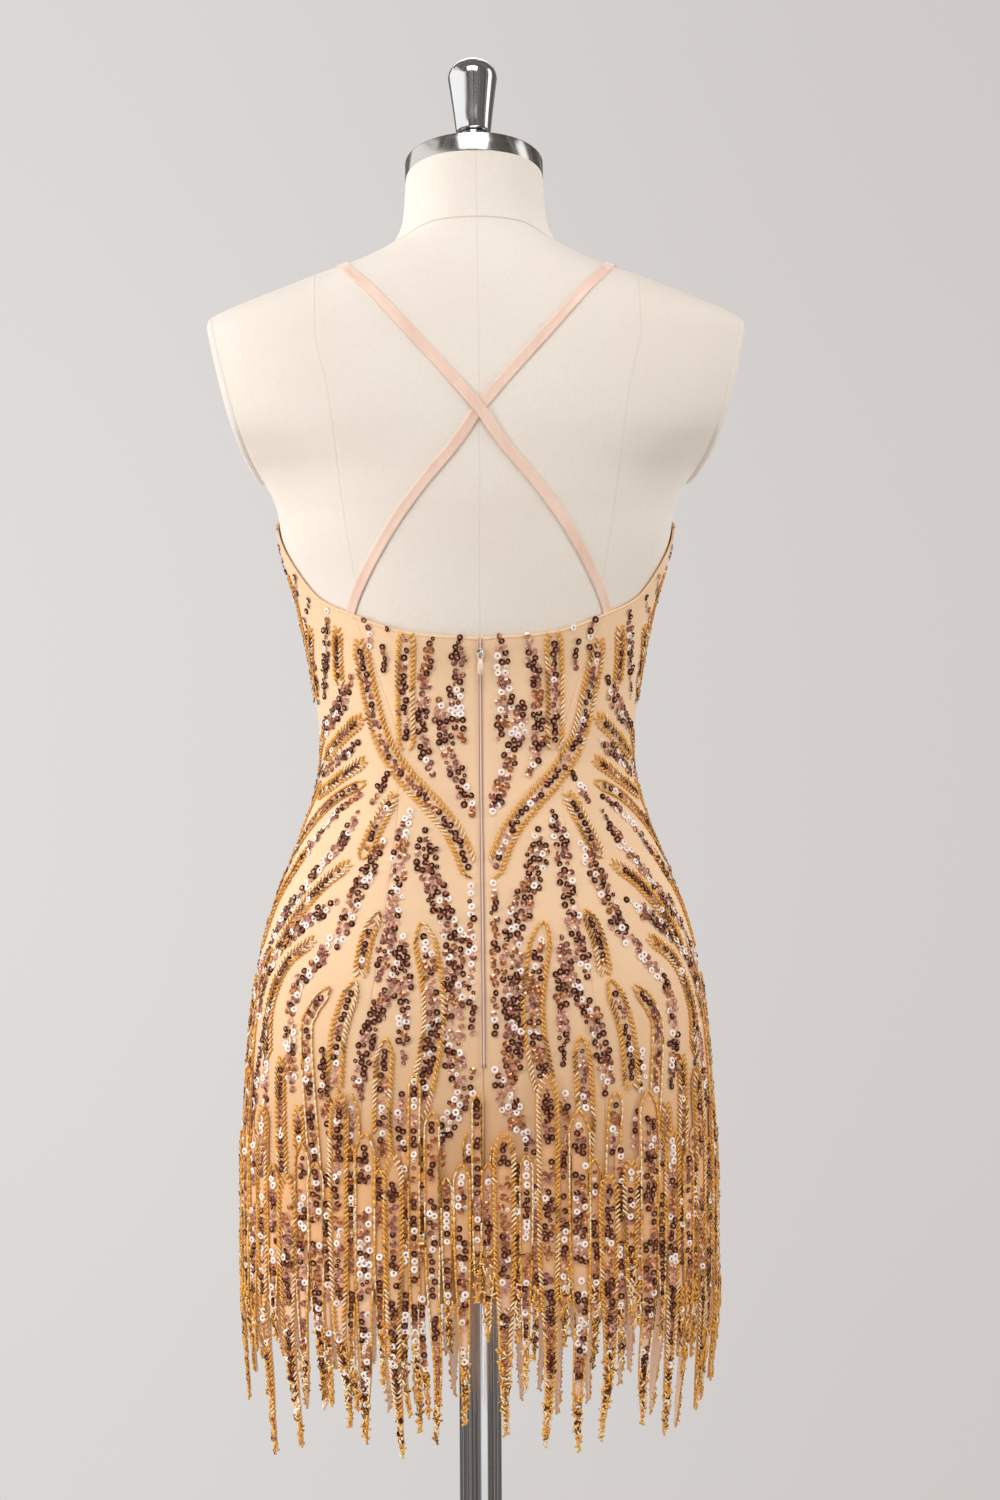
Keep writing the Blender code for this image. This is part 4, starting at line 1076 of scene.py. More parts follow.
def build_binding(materials):
    """The narrow bound edge round the top, open at the zip."""
    angles = math.pi / 2 + np.linspace(BINDING_END, 2 * math.pi - BINDING_END, 520)
    heights = top_edge(angles) - BINDING_DROP
    half_thick, half_high = BINDING
    middle = FORM_GAP + CLOTH / 2 + BINDING_OUT
    rings = [cloth_frame(angles, heights + half_high * sine, middle + half_thick * cosine)[0]
             for cosine, sine in zip(*circle(12))]
    binding = tube_object("edge_binding", np.stack(rings, axis=1), materials["cloth"])
    return finish_piece(binding, "dress_cloth")


# ---- Straps and zip ------------------------------------------------------------------------

def strap_frame(tree, side, wrap):
    """A strap's middle on the form at an angle over the shoulder, and the ways out and across."""
    def surface(at):
        origin = Vector((side * float(strap_path(at)), 0, STRAP_AXIS_HEIGHT))
        turn = math.radians(at)
        return tree.ray_cast(origin, Vector((0, math.cos(turn), math.sin(turn))))[:2]

    before, after = surface(wrap - 3), surface(wrap + 3)
    point, normal = surface(wrap)
    normal = (before[1] + after[1] + normal).normalized()
    along = (after[0] - before[0]).normalized()
    return point, normal, normal.cross(along).normalized()


def strap_end(tree, side, back):
    """The angle at which a strap's middle reaches the dress's top edge."""
    low, high = STRAP_BACK_RANGE if back else STRAP_FRONT_RANGE
    for _ in range(18):
        middle = (low + high) / 2
        point = strap_frame(tree, side, middle)[0]
        from_side = math.degrees(float(angle_at(point.x, point.z)))
        edge_height = float(back_edge(from_side) if back else front_edge(from_side))
        clear = point.z > edge_height - STRAP_TUCK
        if clear == back:
            high = middle
        else:
            low = middle
    return high if back else low


def build_straps(materials, frame):
    """Two flat satin rouleaux that cross at the back, the left one over the right one."""
    mesh = frame["nodes"]["form_torso"].data
    tree = BVHTree.FromPolygons([vertex.co for vertex in mesh.vertices],
                                [tuple(face.vertices) for face in mesh.polygons])
    section = mirrored(STRAP_SECTION)
    straps = []
    for side, word in ((1, "left"), (-1, "right")):
        rises = CLOTH + 2 * LAY_GAP if side > 0 else 0.0
        start, end = strap_end(tree, side, True), strap_end(tree, side, False)
        centres, normals, acrosses = [], [], []
        for share in np.linspace(0, 1, 150):
            point, normal, across = strap_frame(tree, side, blend(start, end, share))
            near = math.exp(-(point.x / CROSSING_REACH) ** 2) if point.y > 0 else 0.0
            lift = STRAP_LIFT + rises * near
            if point.y < 0 and point.z < STRAP_AXIS_HEIGHT:
                lift += STRAP_POINT_EASE
            centres.append(point + normal * lift)
            normals.append(normal)
            acrosses.append(across)
        centres, normals = smooth_rows(centres, 4), unit(smooth_rows(normals, 6))
        acrosses = unit(smooth_rows(acrosses, 6))
        rings = [[centre + across * STRAP_WIDTH / 2 * place + normal * out / 1000 for place, out in section]
                 for centre, normal, across in zip(centres, normals, acrosses)]
        strap = tube_object("satin_strap_" + word, rings, materials["satin"])
        sharpen(strap, 70)
        straps.append(finish_piece(strap, "strap_satin", "strap_" + word))
    return straps


def mirrored(half):
    """A closed section from its right half, which starts in the middle."""
    return [*half, *((-place, out) for place, out in half[:0:-1])]


def smooth_rows(rows, times):
    """Rows of vectors with their small jumps evened out; the ends stay."""
    rows = np.array([tuple(row) for row in rows])
    for _ in range(times):
        rows[1:-1] = (rows[:-2] + 2 * rows[1:-1] + rows[2:]) / 4
    return rows


def build_zip(materials):
    """The zip's folds, its slider and the pull."""
    heights = np.linspace(ZIP_BOTTOM, float(back_edge(90)) - SEAM_GAP, 90)
    section = [(-place, out) for place, out in ZIP_SECTION[:0:-1]] + list(ZIP_SECTION)

    def upright(place, lift):
        from_middle = math.pi / 2 - angle_at(abs(place) * ZIP_WIDTH / 2, heights)
        return cloth_frame(math.pi / 2 - np.sign(place) * from_middle, heights, lift)[0]

    outer = [upright(place, CLOTH_LIFT + TAPE_LIFT + out * TAPE_RISE) for place, out in section]
    inner = [upright(place, CLOTH_LIFT - TAPE_DEPTH) for place, _ in section]
    tape = sheet_object("zip_folds", np.stack(outer[::-1]), np.stack(inner[::-1]), materials["zip_tape"])
    fix_normals(tape)
    finish_piece(tape, "zip_tape", "zip_coil")

    back, level = np.array(math.pi / 2), np.array(SLIDER_HEIGHT)
    _, upward, outward = figure_frame(back, level)
    layers = FORM_GAP + CLOTH + LAY_GAP + ZIP_COIL + LAY_GAP
    seat = figure_point(back, level) + outward * layers
    lean = math.atan2(-upward[1], upward[2])
    place = Matrix.Translation(Vector(seat)) @ Matrix.Rotation(lean, 4, "X")
    finish_piece(slider_object(materials, place), "zip_metal", "zip_slider")
    hinge = place @ Vector((0, SLIDER_DEPTH + BRIDGE_HOLE[0] / 2, 0))
    pull = pull_object(materials, Matrix.Translation(hinge))
    finish_piece(pull, "zip_pull_enamel", "zip_pull", body="zip_pull")


def slider_object(materials, place):
    """The slider's shield with its bridge."""
    outline = through([(x * SLIDER_WIDTH / 2, z) for x, z in SLIDER_OUTLINE], 4)
    outline = np.concatenate([outline, outline[::-1] * (-1, 1)])
    rings = [[(x * share, depth, z * share) for x, z in outline] for share, depth in SLIDER_LAYERS]
    slider = tube_object("slider", rings, materials["zip_metal"])
    sharpen(slider, 50)
    thick, out, up = BRIDGE_BAR / 2, BRIDGE_HOLE[0], BRIDGE_HOLE[1] / 2
    leg = ((SLIDER_DEPTH - thick, up + thick), (SLIDER_DEPTH + out * 0.7, up + thick),
           (SLIDER_DEPTH + out + thick, up * 0.45))
    line = through([(0, depth, -z) for depth, z in leg] + [(0, depth, z) for depth, z in leg[::-1]], 5)
    rings = []
    for point, way in zip(line, unit(np.gradient(line, axis=0))):
        across = np.array((1.0, 0.0, 0.0))
        side = np.cross(way, across)
        rings.append([point + across * 2 * thick * cosine + side * thick * sine
                      for cosine, sine in zip(*circle(10))])
    bridge = tube_object("slider_bridge", rings, materials["zip_metal"])
    shape = bmesh.new()
    shape.from_mesh(slider.data)
    shape.from_mesh(bridge.data)
    shape.to_mesh(slider.data)
    shape.free()
    bpy.data.objects.remove(bridge)
    slider.data.transform(place)
    return slider


def pull_object(materials, place):
    """A flat drop with a narrow waist, its eye round the bridge."""
    left = through([(x * PULL_WIDTH / 2, z) for x, z in PULL_OUTLINE], 5)
    outline = np.concatenate([left, left[-2::-1] * (-1, 1)])
    half_eye = np.array(PULL_EYE) / 2
    centre = np.array((0, -PULL_TOP - half_eye[1]))
    turn = np.arctan2(*((outline - centre) / half_eye).T[::-1])
    corner = 0.98 / np.maximum(np.abs(np.cos(turn)), np.abs(np.sin(turn)))
    hole = centre + half_eye * np.stack([np.cos(turn), np.sin(turn)], axis=1) * corner[:, None]
    rim, between = outline * (0.97, 0.995), (outline + hole) / 2
    rings = [[(x, share * PULL_THICKNESS / 2, z) for x, z in loop] for loop, share in (
        (rim, -0.6), (outline, 0.0), (rim, 0.6), (between, 1.0), (hole, 0.8), (hole, -0.8), (between, -1.0))]
    pull = tube_object("pull", rings, materials["pull_enamel"], joined=True)
    pull.data.transform(place)
    return pull


# ---- Beads ---------------------------------------------------------------------------------

def sequin_shape(sides=10):
    """A cupped ring: points, faces and the part that each face belongs to."""
    cosines, sines = circle(sides)
    points = [(size * c, size * s, rise) for size, rise in ((1.0, 0.0), (SEQUIN_HOLE, SEQUIN_CUP))
              for c, s in zip(cosines, sines)]
    faces = grid_faces(2, sides, wrap=("rows",), flip=True)
    return np.array(points), faces, [0] * len(faces)


def bugle_shape(sides=6):
    """A bead of unit length along X; its outer facet takes the line in the glass: silver lining with a
    painted glint, a painted dark reflection, or plain gold.
    """
    turns = 2 * math.pi * (np.arange(sides) + 1) / sides
    points = [(x, math.cos(turn), math.sin(turn)) for x in (-0.5, 0.5) for turn in turns]
    faces = grid_faces(2, sides, wrap=("rows",))
    faces += [tuple(range(sides)), tuple(range(sides, 2 * sides))[::-1]]
    return np.array(points), faces, [1] + [0] * (len(faces) - 1)


def seed_shape():
    points = np.array([(1, 0, 0), (0, 1, 0), (-1, 0, 0), (0, -1, 0), (0, 0, 1), (0, 0, -1)], float)
    faces = [(0, 1, 4), (1, 2, 4), (2, 3, 4), (3, 0, 4), (1, 0, 5), (2, 1, 5), (3, 2, 5), (0, 3, 5)]
    return points, faces, [0] * len(faces)


def new_stores():
    """Empty lists for the beads of each kind."""
    kinds = ("sequins", "bugles", "seeds")
    return {kind: {"point": [], "axes": [], "size": [], "tone": []} for kind in kinds}


def put(store, point, axes, size, tone):
    """Adds beads: places, three unit vectors each as rows, sizes along them, and tones."""
    store["point"].append(point)
    store["axes"].append(axes)
    store["size"].append(np.broadcast_to(np.asarray(size, float), point.shape))
    store["tone"].append(np.broadcast_to(np.asarray(tone, int), point.shape[:1]))


def stamped_object(name, shape, store, chosen, materials, slot_of):
    """One mesh of many copies of a bead; slot_of gives a face's material from its tone and part."""
    points, faces, parts = shape
    place, axes, size, tone = (np.concatenate(store[key])[chosen]
                               for key in ("point", "axes", "size", "tone"))
    count = len(place)
    all_points = np.einsum("vk,nk,nkc->nvc", points, size, axes) + place[:, None, :]
    lengths = np.array([len(face) for face in faces])
    corners = np.concatenate([np.array(face) for face in faces])
    all_corners = corners[None, :] + np.arange(count)[:, None] * len(points)
    starts = np.concatenate([[0], np.cumsum(np.tile(lengths, count))[:-1]])
    slots = np.array([[slot_of(t, part) for part in parts] for t in range(int(tone.max()) + 1)])
    mesh = bpy.data.meshes.new(name)
    mesh.vertices.add(count * len(points))
    mesh.vertices.foreach_set("co", all_points.astype(np.float32).ravel())
    mesh.loops.add(all_corners.size)
    mesh.loops.foreach_set("vertex_index", all_corners.astype(np.int32).ravel())
    mesh.polygons.add(count * len(faces))
    mesh.polygons.foreach_set("loop_start", starts.astype(np.int32))
    mesh.polygons.foreach_set("material_index", slots[tone].astype(np.int32).ravel())
    for material in materials:
        mesh.materials.append(material)
    mesh.update(calc_edges=True)
    return add_object(name, mesh)


def trace(points, side, place):
    """A route over the cloth: its run in metres, and the angle and height along it."""
    line = through(points, 16)
    height = line[:, 1]
    angle = np.radians(line[:, 0]) if place == "side" else angle_at(line[:, 0] / 1000, height)
    angle = -angle if place == "front" else angle
    angle = angle if side > 0 else math.pi - angle
    return run_along(cloth_frame(angle, height, CLOTH_LIFT)[0]), angle, height


def walk(route, places):
    """Angle, height and heading (round, up) at places along a route."""
    run, angles, heights = route
    step = 0.0015
    angle, height = np.interp(places, run, angles), np.interp(places, run, heights)
    before = np.clip(places - step, 0, run[-1])
    after = np.clip(places + step, 0, run[-1])
    scales = cloth_frame(angle, height, CLOTH_LIFT)[4]
    around = (np.interp(after, run, angles) - np.interp(before, run, angles)) * scales[0]
    up = (np.interp(after, run, heights) - np.interp(before, run, heights)) * scales[1]
    return angle, height, unit(np.stack([around, up], -1)), scales


def beside(angle, height, heading, scales, distance):
    """Angle and height a small distance to the left of the heading."""
    return angle - heading[:, 1] * distance / scales[0], height + heading[:, 0] * distance / scales[1]


def on_cloth(angle, height, lift):
    point, around, up, outward, _ = cloth_frame(angle, height, CLOTH_LIFT + lift)
    return point, np.stack([around, up, outward], axis=1)


def turned_axes(axes, turn):
    """Axes turned about their outward vector."""
    c, s = np.cos(turn)[:, None], np.sin(turn)[:, None]
    x, y, z = axes[:, 0], axes[:, 1], axes[:, 2]
    return np.stack([x * c + y * s, y * c - x * s, z], axis=1)


def tilted_axes(axes, amount):
    """Axes tipped by a small random amount, as a loose sequin lies."""
    lean = rng.normal(0, amount, (len(axes), 2))
    outward = unit(axes[:, 2] + axes[:, 0] * lean[:, :1] + axes[:, 1] * lean[:, 1:])
    first = unit(axes[:, 0] - outward * np.sum(axes[:, 0] * outward, axis=1, keepdims=True))
    return np.stack([first, np.cross(outward, first), outward], axis=1)


def runs(count, shares, stay, never_stays=None):
    """Kinds along a chain, with like ones in short runs: stay is the chance to be like the last."""
    kinds, now = [], 0
    for _ in range(count):
        if now == never_stays or rng.random() > stay:
            now = rng.choice(len(shares), p=shares)
        kinds.append(now)
    return np.array(kinds, int)


def tone_runs(count, pale, others=TONE_SHARES):
    return runs(count, [share * (1 - pale) for share in others] + [pale], 0.4, PAINTED_HIGHLIGHT_TONE)


def glints(count):
    """0 is all gold, 1 has a silver line with a painted glint and 2 a painted dark reflection, on the outer
    facet.
    """
    return runs(count, GLINT_SHARES, 0.7)


def raised(point, axes, lift):
    """Points moved out by one lift or one each."""
    return point + axes[:, 2] * np.reshape(lift, (-1, 1))


def put_sequins(stores, point, axes, tones):
    """Sequins, some with a seed bead in the middle."""
    size = SEQUIN_RADIUS * rng.uniform(0.92, 1.06, len(point))
    size = np.where(rng.random(len(point)) < SMALL_SHARE, size * SMALL_SIZE, size)
    axes = tilted_axes(turned_axes(axes, rng.uniform(0, 6.3, len(point))), SEQUIN_TILT)
    put(stores["sequins"], point, axes, size[:, None] * np.ones(3), tones)
    seeded = (tones == PAINTED_HIGHLIGHT_TONE) | (rng.random(len(point)) < 0.3)
    put(stores["seeds"], raised(point, axes, 0.0001)[seeded], axes[seeded], SEED_SIZE, 0)


def put_bugles(stores, point, axes, turn, glint, length=BUGLE_LENGTH):
    """Bugle beads whose length lies at this turn from the way round the body."""
    axes = tilted_axes(turned_axes(axes, turn), BUGLE_TILT)
    thick = np.full(len(point), BUGLE_RADIUS)
    size = np.stack([length * rng.uniform(0.93, 1.05, len(point)), thick, thick], -1)
    put(stores["bugles"], point, axes, size, glint)


def leaf_half_width(places, length, width):
    """Half the distance between a leaf's two rows: pointed at its start, rounder at its end."""
    from_start, from_end = places / (1.1 * width), (length - places) / (0.55 * width)
    return width / 2 * np.clip(from_start, 0.04, 1) ** 0.62 * np.clip(from_end, 0.0, 1) ** 0.5


def bead_leaf(stores, strips, route, width, outline):
    """Two rows of bugle beads round a chain of sequins."""
    length = route[0][-1]
    slanted = outline != "line"
    row_width = width - (BUGLE_LENGTH * 0.72 if slanted else 2 * BUGLE_RADIUS)
    pitch = BUGLE_PITCH if slanted else BUGLE_LENGTH * 1.06
    places = np.arange(pitch / 2, length, pitch)
    angle, height, heading, scales = walk(route, places)
    half = leaf_half_width(places, length, row_width)
    direction = np.arctan2(heading[:, 1], heading[:, 0])
    for hand in (-1, 1):
        a, h = beside(angle, height, heading, scales, hand * half)
        point, axes = on_cloth(a, h, BUGLE_RADIUS * 0.9)
        if slanted:
            lean = BUGLE_SLANT if outline == "peak" else -BUGLE_SLANT
            turn = direction + hand * lean + rng.normal(0, 0.07, len(places))
        else:
            turn = direction + hand * np.arctan(np.gradient(half, places))
        keep = open_cloth(a, h, strips)
        put_bugles(stores, point[keep], axes[keep], turn[keep], glints(len(places))[keep])
    inner = width - BUGLE_LENGTH * (1.45 if slanted else 0.7)
    bead_streak(stores, strips, route, max(inner, NARROWEST_CHAIN), 0.22, (0.45 * width, 0.40 * width))


def strewn(start, stop, width):
    """Places along and beside a band, close together but not in rows, narrower at its ends."""
    free = max(STREAK_SPREAD * width / 2 - SEQUIN_RADIUS, 0.0)
    tries = 8 + int(10 * (stop - start) * (2 * free + SEQUIN_SPACING) / SEQUIN_SPACING ** 2)
    along = rng.uniform(start, stop, tries)
    taper = np.clip(np.minimum(along - start, stop - along) / 0.014, 0.12, 1)
    wave = 0.90 + 0.10 * np.sin(along * 190 + rng.uniform(0, 6.28))
    across = rng.uniform(-1, 1, tries) * free * taper * wave
    spots = np.stack([along, across], 1)
    kept = np.full((tries, 2), 9.0)
    count = 0
    for spot in spots:
        gaps = kept[:count] - spot
        if count == 0 or (gaps * gaps).sum(axis=1).min() > SEQUIN_SPACING ** 2:
            kept[count] = spot
            count += 1
    kept = kept[:count]
    return kept[np.argsort(kept[:, 0])].T


def bead_streak(stores, strips, route, width, pale, ends=(0.0, 0.0)):
    """Sequins strewn along a route, one to four side by side, fewer at its ends."""
    length = route[0][-1]
    start, stop = ends[0] + SEQUIN_RADIUS, length - ends[1] - SEQUIN_RADIUS * 0.5
    if stop <= start:
        return
    places, offsets = strewn(start, stop, width)
    angle, height, heading, scales = walk(route, places)
    a, h = beside(angle, height, heading, scales, offsets)
    point, axes = on_cloth(a, h, 0.0)
    point = raised(point, axes, rng.uniform(*SEQUIN_LIFT, len(places)))
    keep = open_cloth(a, h, strips)
    tones = tone_runs(len(places), 0.85 * pale)
    put_sequins(stores, point[keep], axes[keep], tones[keep])


def open_cloth(angle, height, strips):
    """Whether beads can lie here: below the top edge, off the zip and not under a fringe strip."""
    place = np.interp(angle % (2 * math.pi), HEM_ANGLES, HEM_RUN)
    covered = np.zeros(len(place), bool)
    for strip in strips:
        beside_it = np.abs(place - strip["start"] - strip["place"]) < strip["width"] / 2 + 0.0014
        covered |= beside_it & (height < strip["top"] - 0.002)
    from_zip = np.abs(np.cos(angle)) ** (2 / SQUARENESS) * figure_trunk(height)
    off_zip = (from_zip > ZIP_CLEARANCE) | (np.sin(angle) < 0) | (height < ZIP_BOTTOM - 0.004)
    return (height < top_edge(angle) + EDGE_OVERHANG) & off_zip & ~covered


def bead_cloth(stores, strips):
    """All motifs on both halves of the back and the front."""
    for side in (1, -1):
        for place, leaves, streaks in (
            ("back", LEAVES, STREAKS),
            ("front", LEAVES + FRONT_LEAVES, STREAKS + FRONT_STREAKS),
            ("side", SIDE_LEAVES, SIDE_STREAKS),
        ):
            for width, outline, points in leaves:
                bead_leaf(stores, strips, trace(points, side, place), width / 1000, outline)
            for width, pale, points in streaks:
                bead_streak(stores, strips, trace(points, side, place), width / 1000, pale)


# ---- The fringe ----------------------------------------------------------------------------

def hem_run():
    """Distances round the fringe's top, from the left side seam, and the angles there."""
    angles = np.linspace(0, 2 * math.pi, 721)
    outward = figure_frame(angles, FRINGE_TOP)[2]
    return run_along(figure_point(angles, FRINGE_TOP) + outward * (CLOTH_LIFT + FRINGE_LIFT)), angles


HEM_RUN, HEM_ANGLES = hem_run()
HALF_ROUND = float(HEM_RUN[360])


def strip_frame(strip, height, across):
    """Points on a fringe strip, and its axes, at heights and at shares of its half width."""
    share = np.clip((FRINGE_TOP - height) / (FRINGE_TOP - strip["tip"]), 0, 1)
    free = smooth_step(HEM + 0.03 - height, 0.0, 0.11)
    half = blend(STRAND_TIP, strip["width"], 1 - share ** 3) / 2
    half = half * blend(1.0, STRIP_SPREAD, smooth_step(height, HEM - 0.02, HEM + 0.04))
    swing = strip["swing"] * free * np.sin(strip["phase"] + (HEM - height) * 38)
    place = strip["place"] + strip["drift"] * share ** 2 + swing + across * half
    angle = np.interp(strip["start"] + place, HEM_RUN, HEM_ANGLES)
    out = (FRINGE_LIFT + 0.0003 + strip["over"] + 0.0006 * (1 - across ** 2)
           + strip["flare"] * free * (0.6 + 0.4 * np.sin(strip["phase"] * 1.7 + (HEM - height) * 30)))
    point, around, up, outward, _ = cloth_frame(angle, height, CLOTH_LIFT + out)
    return point, np.stack([around, up, outward], axis=-2), half


def arch(strip, heights):
    """How far a strip has reached its width, below its pointed top."""
    share = np.clip((strip["top"] - heights) / (STRIP_ARCH * strip["width"]), 0.002, 1)
    return np.sin(share * math.pi / 2) ** 0.8


def hanging_strip(row, first):
    """A strip of the fringe, with how it hangs; first is 0 on the back and 1 on the front."""
    strip = dict(zip(STRAND_COLUMNS, row))
    strip["start"] = first * HALF_ROUND
    strip["quarter"] = 2 * first + (strip["place"] > HALF_ROUND / 2)
    strip["phase"] = rng.uniform(0, 6.28)
    strip["swing"] = rng.uniform(*STRIP_SWING)
    strip["flare"] = rng.uniform(*STRIP_FLARE)
    strip["pale"] = rng.choice(STRIP_PALE)
    return strip


def fringe_strips():
    """Every strip of the fringe: those of the table, and short narrow ones in most gaps."""
    strips = []
    for first in (0, 1):
        for index, row in enumerate(STRANDS):
            strip = hanging_strip(row, first)
            strip["over"] = STRIP_LAYER * (1 + index % 2)
            strip["border"] = STRIP_BORDERS[index % len(STRIP_BORDERS)]
            strip["top"] = FRINGE_TOP + STRIP_TOPS[(index * 3) % len(STRIP_TOPS)]
            strips.append(strip)
        starts = [place - width / 2 for place, width, _, _ in STRANDS] + [HALF_ROUND - 0.0004]
        ends = [0.0004] + [place + width / 2 for place, width, _, _ in STRANDS]
        for low, high in zip(ends, starts):
            if high - low < LEAST_GAP:
                continue
            width = min(high - low + 0.0008, WIDEST_FILLER)
            strip = hanging_strip(((low + high) / 2, width, rng.uniform(*FILLER_TIPS), 0.0), first)
            strip["over"] = 0.0
            strip["border"] = "line" if width > LINE_WIDTH else "none"
            strip["top"] = FRINGE_TOP + rng.uniform(*FILLER_TOPS)
            strips.append(strip)
    return strips


def build_fringe_net(materials, strips):
    """The strips' net, in one piece for each quarter."""
    nets = []
    for quarter, word in enumerate(QUARTERS):
        points, faces, start = [], [], 0
        for strip in (strip for strip in strips if strip["quarter"] == quarter):
            rows = strip["top"] - (strip["top"] - strip["tip"]) * np.linspace(0, 1, 36) ** 1.3
            across = np.linspace(-1, 1, 5 if strip["over"] else 3)
            outer, axes, _ = strip_frame(strip, rows[None, :], across[:, None] * arch(strip, rows)[None, :])
            inner = outer - axes[..., 2, :] * NET_THICKNESS
            faces += shell_faces(*outer.shape[:2], start)
            points += [outer.reshape(-1, 3), inner.reshape(-1, 3)]
            start += 2 * len(points[-1])
        net = mesh_object("fringe_net_" + word, np.concatenate(points), faces, materials["net"])
        nets.append(finish_piece(net, "fringe_beads", "fringe_" + word))
    return nets


def bead_strip(stores, strip):
    """A strip's borders and its chain of sequins, ragged towards its tip."""
    top, tip, width = strip["top"], strip["tip"], strip["width"]
    ragged = RAGGED[0] + RAGGED[1] * rng.random()
    slanted = strip["border"] == "vee" and width > VEE_WIDTH
    pitch = BUGLE_PITCH if slanted else BUGLE_LENGTH * 1.05
    heights = np.arange(top - pitch / 2, tip + 0.25 * ragged, -pitch)
    inset = BUGLE_LENGTH * 0.34 if slanted else BUGLE_RADIUS
    for hand in (-1, 1) if strip["border"] != "none" else ():
        half = strip_frame(strip, heights, np.zeros_like(heights))[2]
        across = hand * np.clip(1 - inset / half, 0.2, 1) * arch(strip, heights)
        point, axes, _ = strip_frame(strip, heights, across)
        low = heights < tip + ragged
        steep = np.arctan(half * (arch(strip, heights - 0.001) - arch(strip, heights + 0.001)) / 0.002)
        slant = hand * (BUGLE_SLANT if slanted else -steep)
        turn = math.pi / 2 - slant + rng.normal(0, 0.06, len(heights))
        turn = turn + low * rng.normal(0, 0.5, len(heights))
        put_bugles(stores, raised(point, axes, BUGLE_RADIUS * 0.9), axes, turn, glints(len(heights)))
    border = {"vee": BUGLE_LENGTH * 0.60, "line": 2 * BUGLE_RADIUS, "none": 0.0}[strip["border"]]
    inner = max(width - 1.6 * border, NARROWEST_CHAIN)
    places, offsets = strewn(0.6 * width, top - tip - 0.35 * ragged, inner)
    dense = np.sin(places * 75 + strip["phase"]) > -0.75
    keep = dense | (rng.random(len(places)) < 0.3)
    point, axes, _ = strip_frame(strip, top - places[keep], offsets[keep] / (STRIP_SPREAD * width / 2))
    point = raised(point, axes, rng.uniform(*STRIP_SEQUIN_LIFT, len(point)))
    put_sequins(stores, point, axes, tone_runs(len(point), strip["pale"], STRIP_TONE_SHARES))
    loose = np.arange(tip + ragged * 1.3, tip - 0.001, -0.0017)
    point, axes, _ = strip_frame(strip, loose, rng.uniform(-1.15, 1.15, len(loose)))
    point = raised(point, axes, rng.uniform(*LOOSE_BUGLE_LIFT, len(loose)))
    turn = math.pi / 2 + rng.normal(0, 0.8, len(loose))
    put_bugles(stores, point, axes, turn, glints(len(loose)), BUGLE_LENGTH * 0.85)


# ---- Objects from the beads ----------------------------------------------------------------

def build_beads(materials, stores, prefix):
    """Sequins, bugle beads and seed beads, one piece of each for each quarter of the body."""
    kinds = (
        ("sequins", sequin_shape(), TONES, lambda tone, part: tone),
        ("bugles", bugle_shape(), ("bugle_gold", "bugle_silver_line_painted_glint", "bugle_painted_dark_reflection"),
         lambda tone, part: tone if part else 0),
        ("seeds", seed_shape(), ("seed_beads",), lambda tone, part: 0),
    )
    made = {word: [] for word in QUARTERS}
    for quarter, word in enumerate(QUARTERS):
        for kind, shape, finishes, slot_of in kinds:
            x, y, _ = np.concatenate(stores[kind]["point"]).T
            quarters = np.where(y > 0.006, np.where(x >= 0, 0, 1), np.where(x < 0, 2, 3))
            piece = stamped_object(f"{prefix}_{kind}_{word}", shape, stores[kind], quarters == quarter,
                                   [materials[name] for name in finishes], slot_of)
            made[word].append(finish_piece(piece, "fringe_beads"))
    return made


# ---- Floor, light and camera ---------------------------------------------------------------

FLOOR_RADIUS = 2.4
FLOOR_THICKNESS = 0.002
FLOOR_DROP = 0.0002         # keeps the floor just under the base
LAMP_TARGET = Vector((0, 0, 1.0))
CAMERA_DISTANCE = 3.4
CAMERA_HEIGHT = 1.0358
CAMERA_TURN = math.radians(2.0)
CAMERA_ASIDE = -0.0172
CAMERA_ROLL = math.radians(-0.30)
CAMERA_LENS = 109.0
SENSOR_WIDTH = 36

# Name, place, size across and up, and power of each lamp.
LAMPS = (
    ("key", (2.8, 1.8, 2.0), (1.2, 1.7), 43),
    ("high", (0.1, 1.9, 3.7), (2.2, 1.1), 42),
    ("side_left", (2.7, 0.2, 0.7), (0.8, 1.2), 29),
    ("strip_right", (-2.6, 0.7, 1.4), (0.5, 2.0), 25),
    ("low_right", (-1.2, 3.4, 0.7), (1.2, 1.1), 6),
    ("front_left", (2.0, -2.6, 1.9), (1.3, 1.6), 40),
    ("front_right", (-2.2, -2.3, 1.6), (1.2, 1.8), 26),
)
LAMPS_NOT_MIRRORED = ("key", "side_left", "strip_right", "front_left", "front_right")

# Light and dark areas that polished surfaces mirror: bearing from and to (radians, positive on the
# wearer's left), upward part of the direction from and to, and colour.
MIRRORED_AREAS = (
    (0.60, 2.45, 0.02, 0.50, (1.25, 1.24, 1.23)),
    (1.31, 2.20, 0.52, 0.64, (0.95, 0.92, 0.90)),
    (-1.86, -1.50, 0.02, 0.56, (1.7, 1.7, 1.7)),
    (-0.63, -0.02, -0.50, -0.04, (1.0, 1.0, 1.0)),
    (2.25, 2.60, -0.50, -0.04, (0.04, 0.05, 0.08)),
    (2.62, 3.20, -0.50, -0.04, (0.60, 0.58, 0.57)),
    (-3.20, -2.62, -0.50, -0.04, (0.60, 0.58, 0.57)),
    (2.70, 3.20, 0.35, 0.80, (1.6, 1.55, 1.5)),
    (-3.20, -2.70, 0.35, 0.80, (1.6, 1.55, 1.5)),
)


def mix_shader(tree, share, first, second):
    node = tree.nodes.new("ShaderNodeMixShader")
    for socket, source in zip(node.inputs, (share, first, second)):
        feed(tree, socket, source)
    return node.outputs[0]


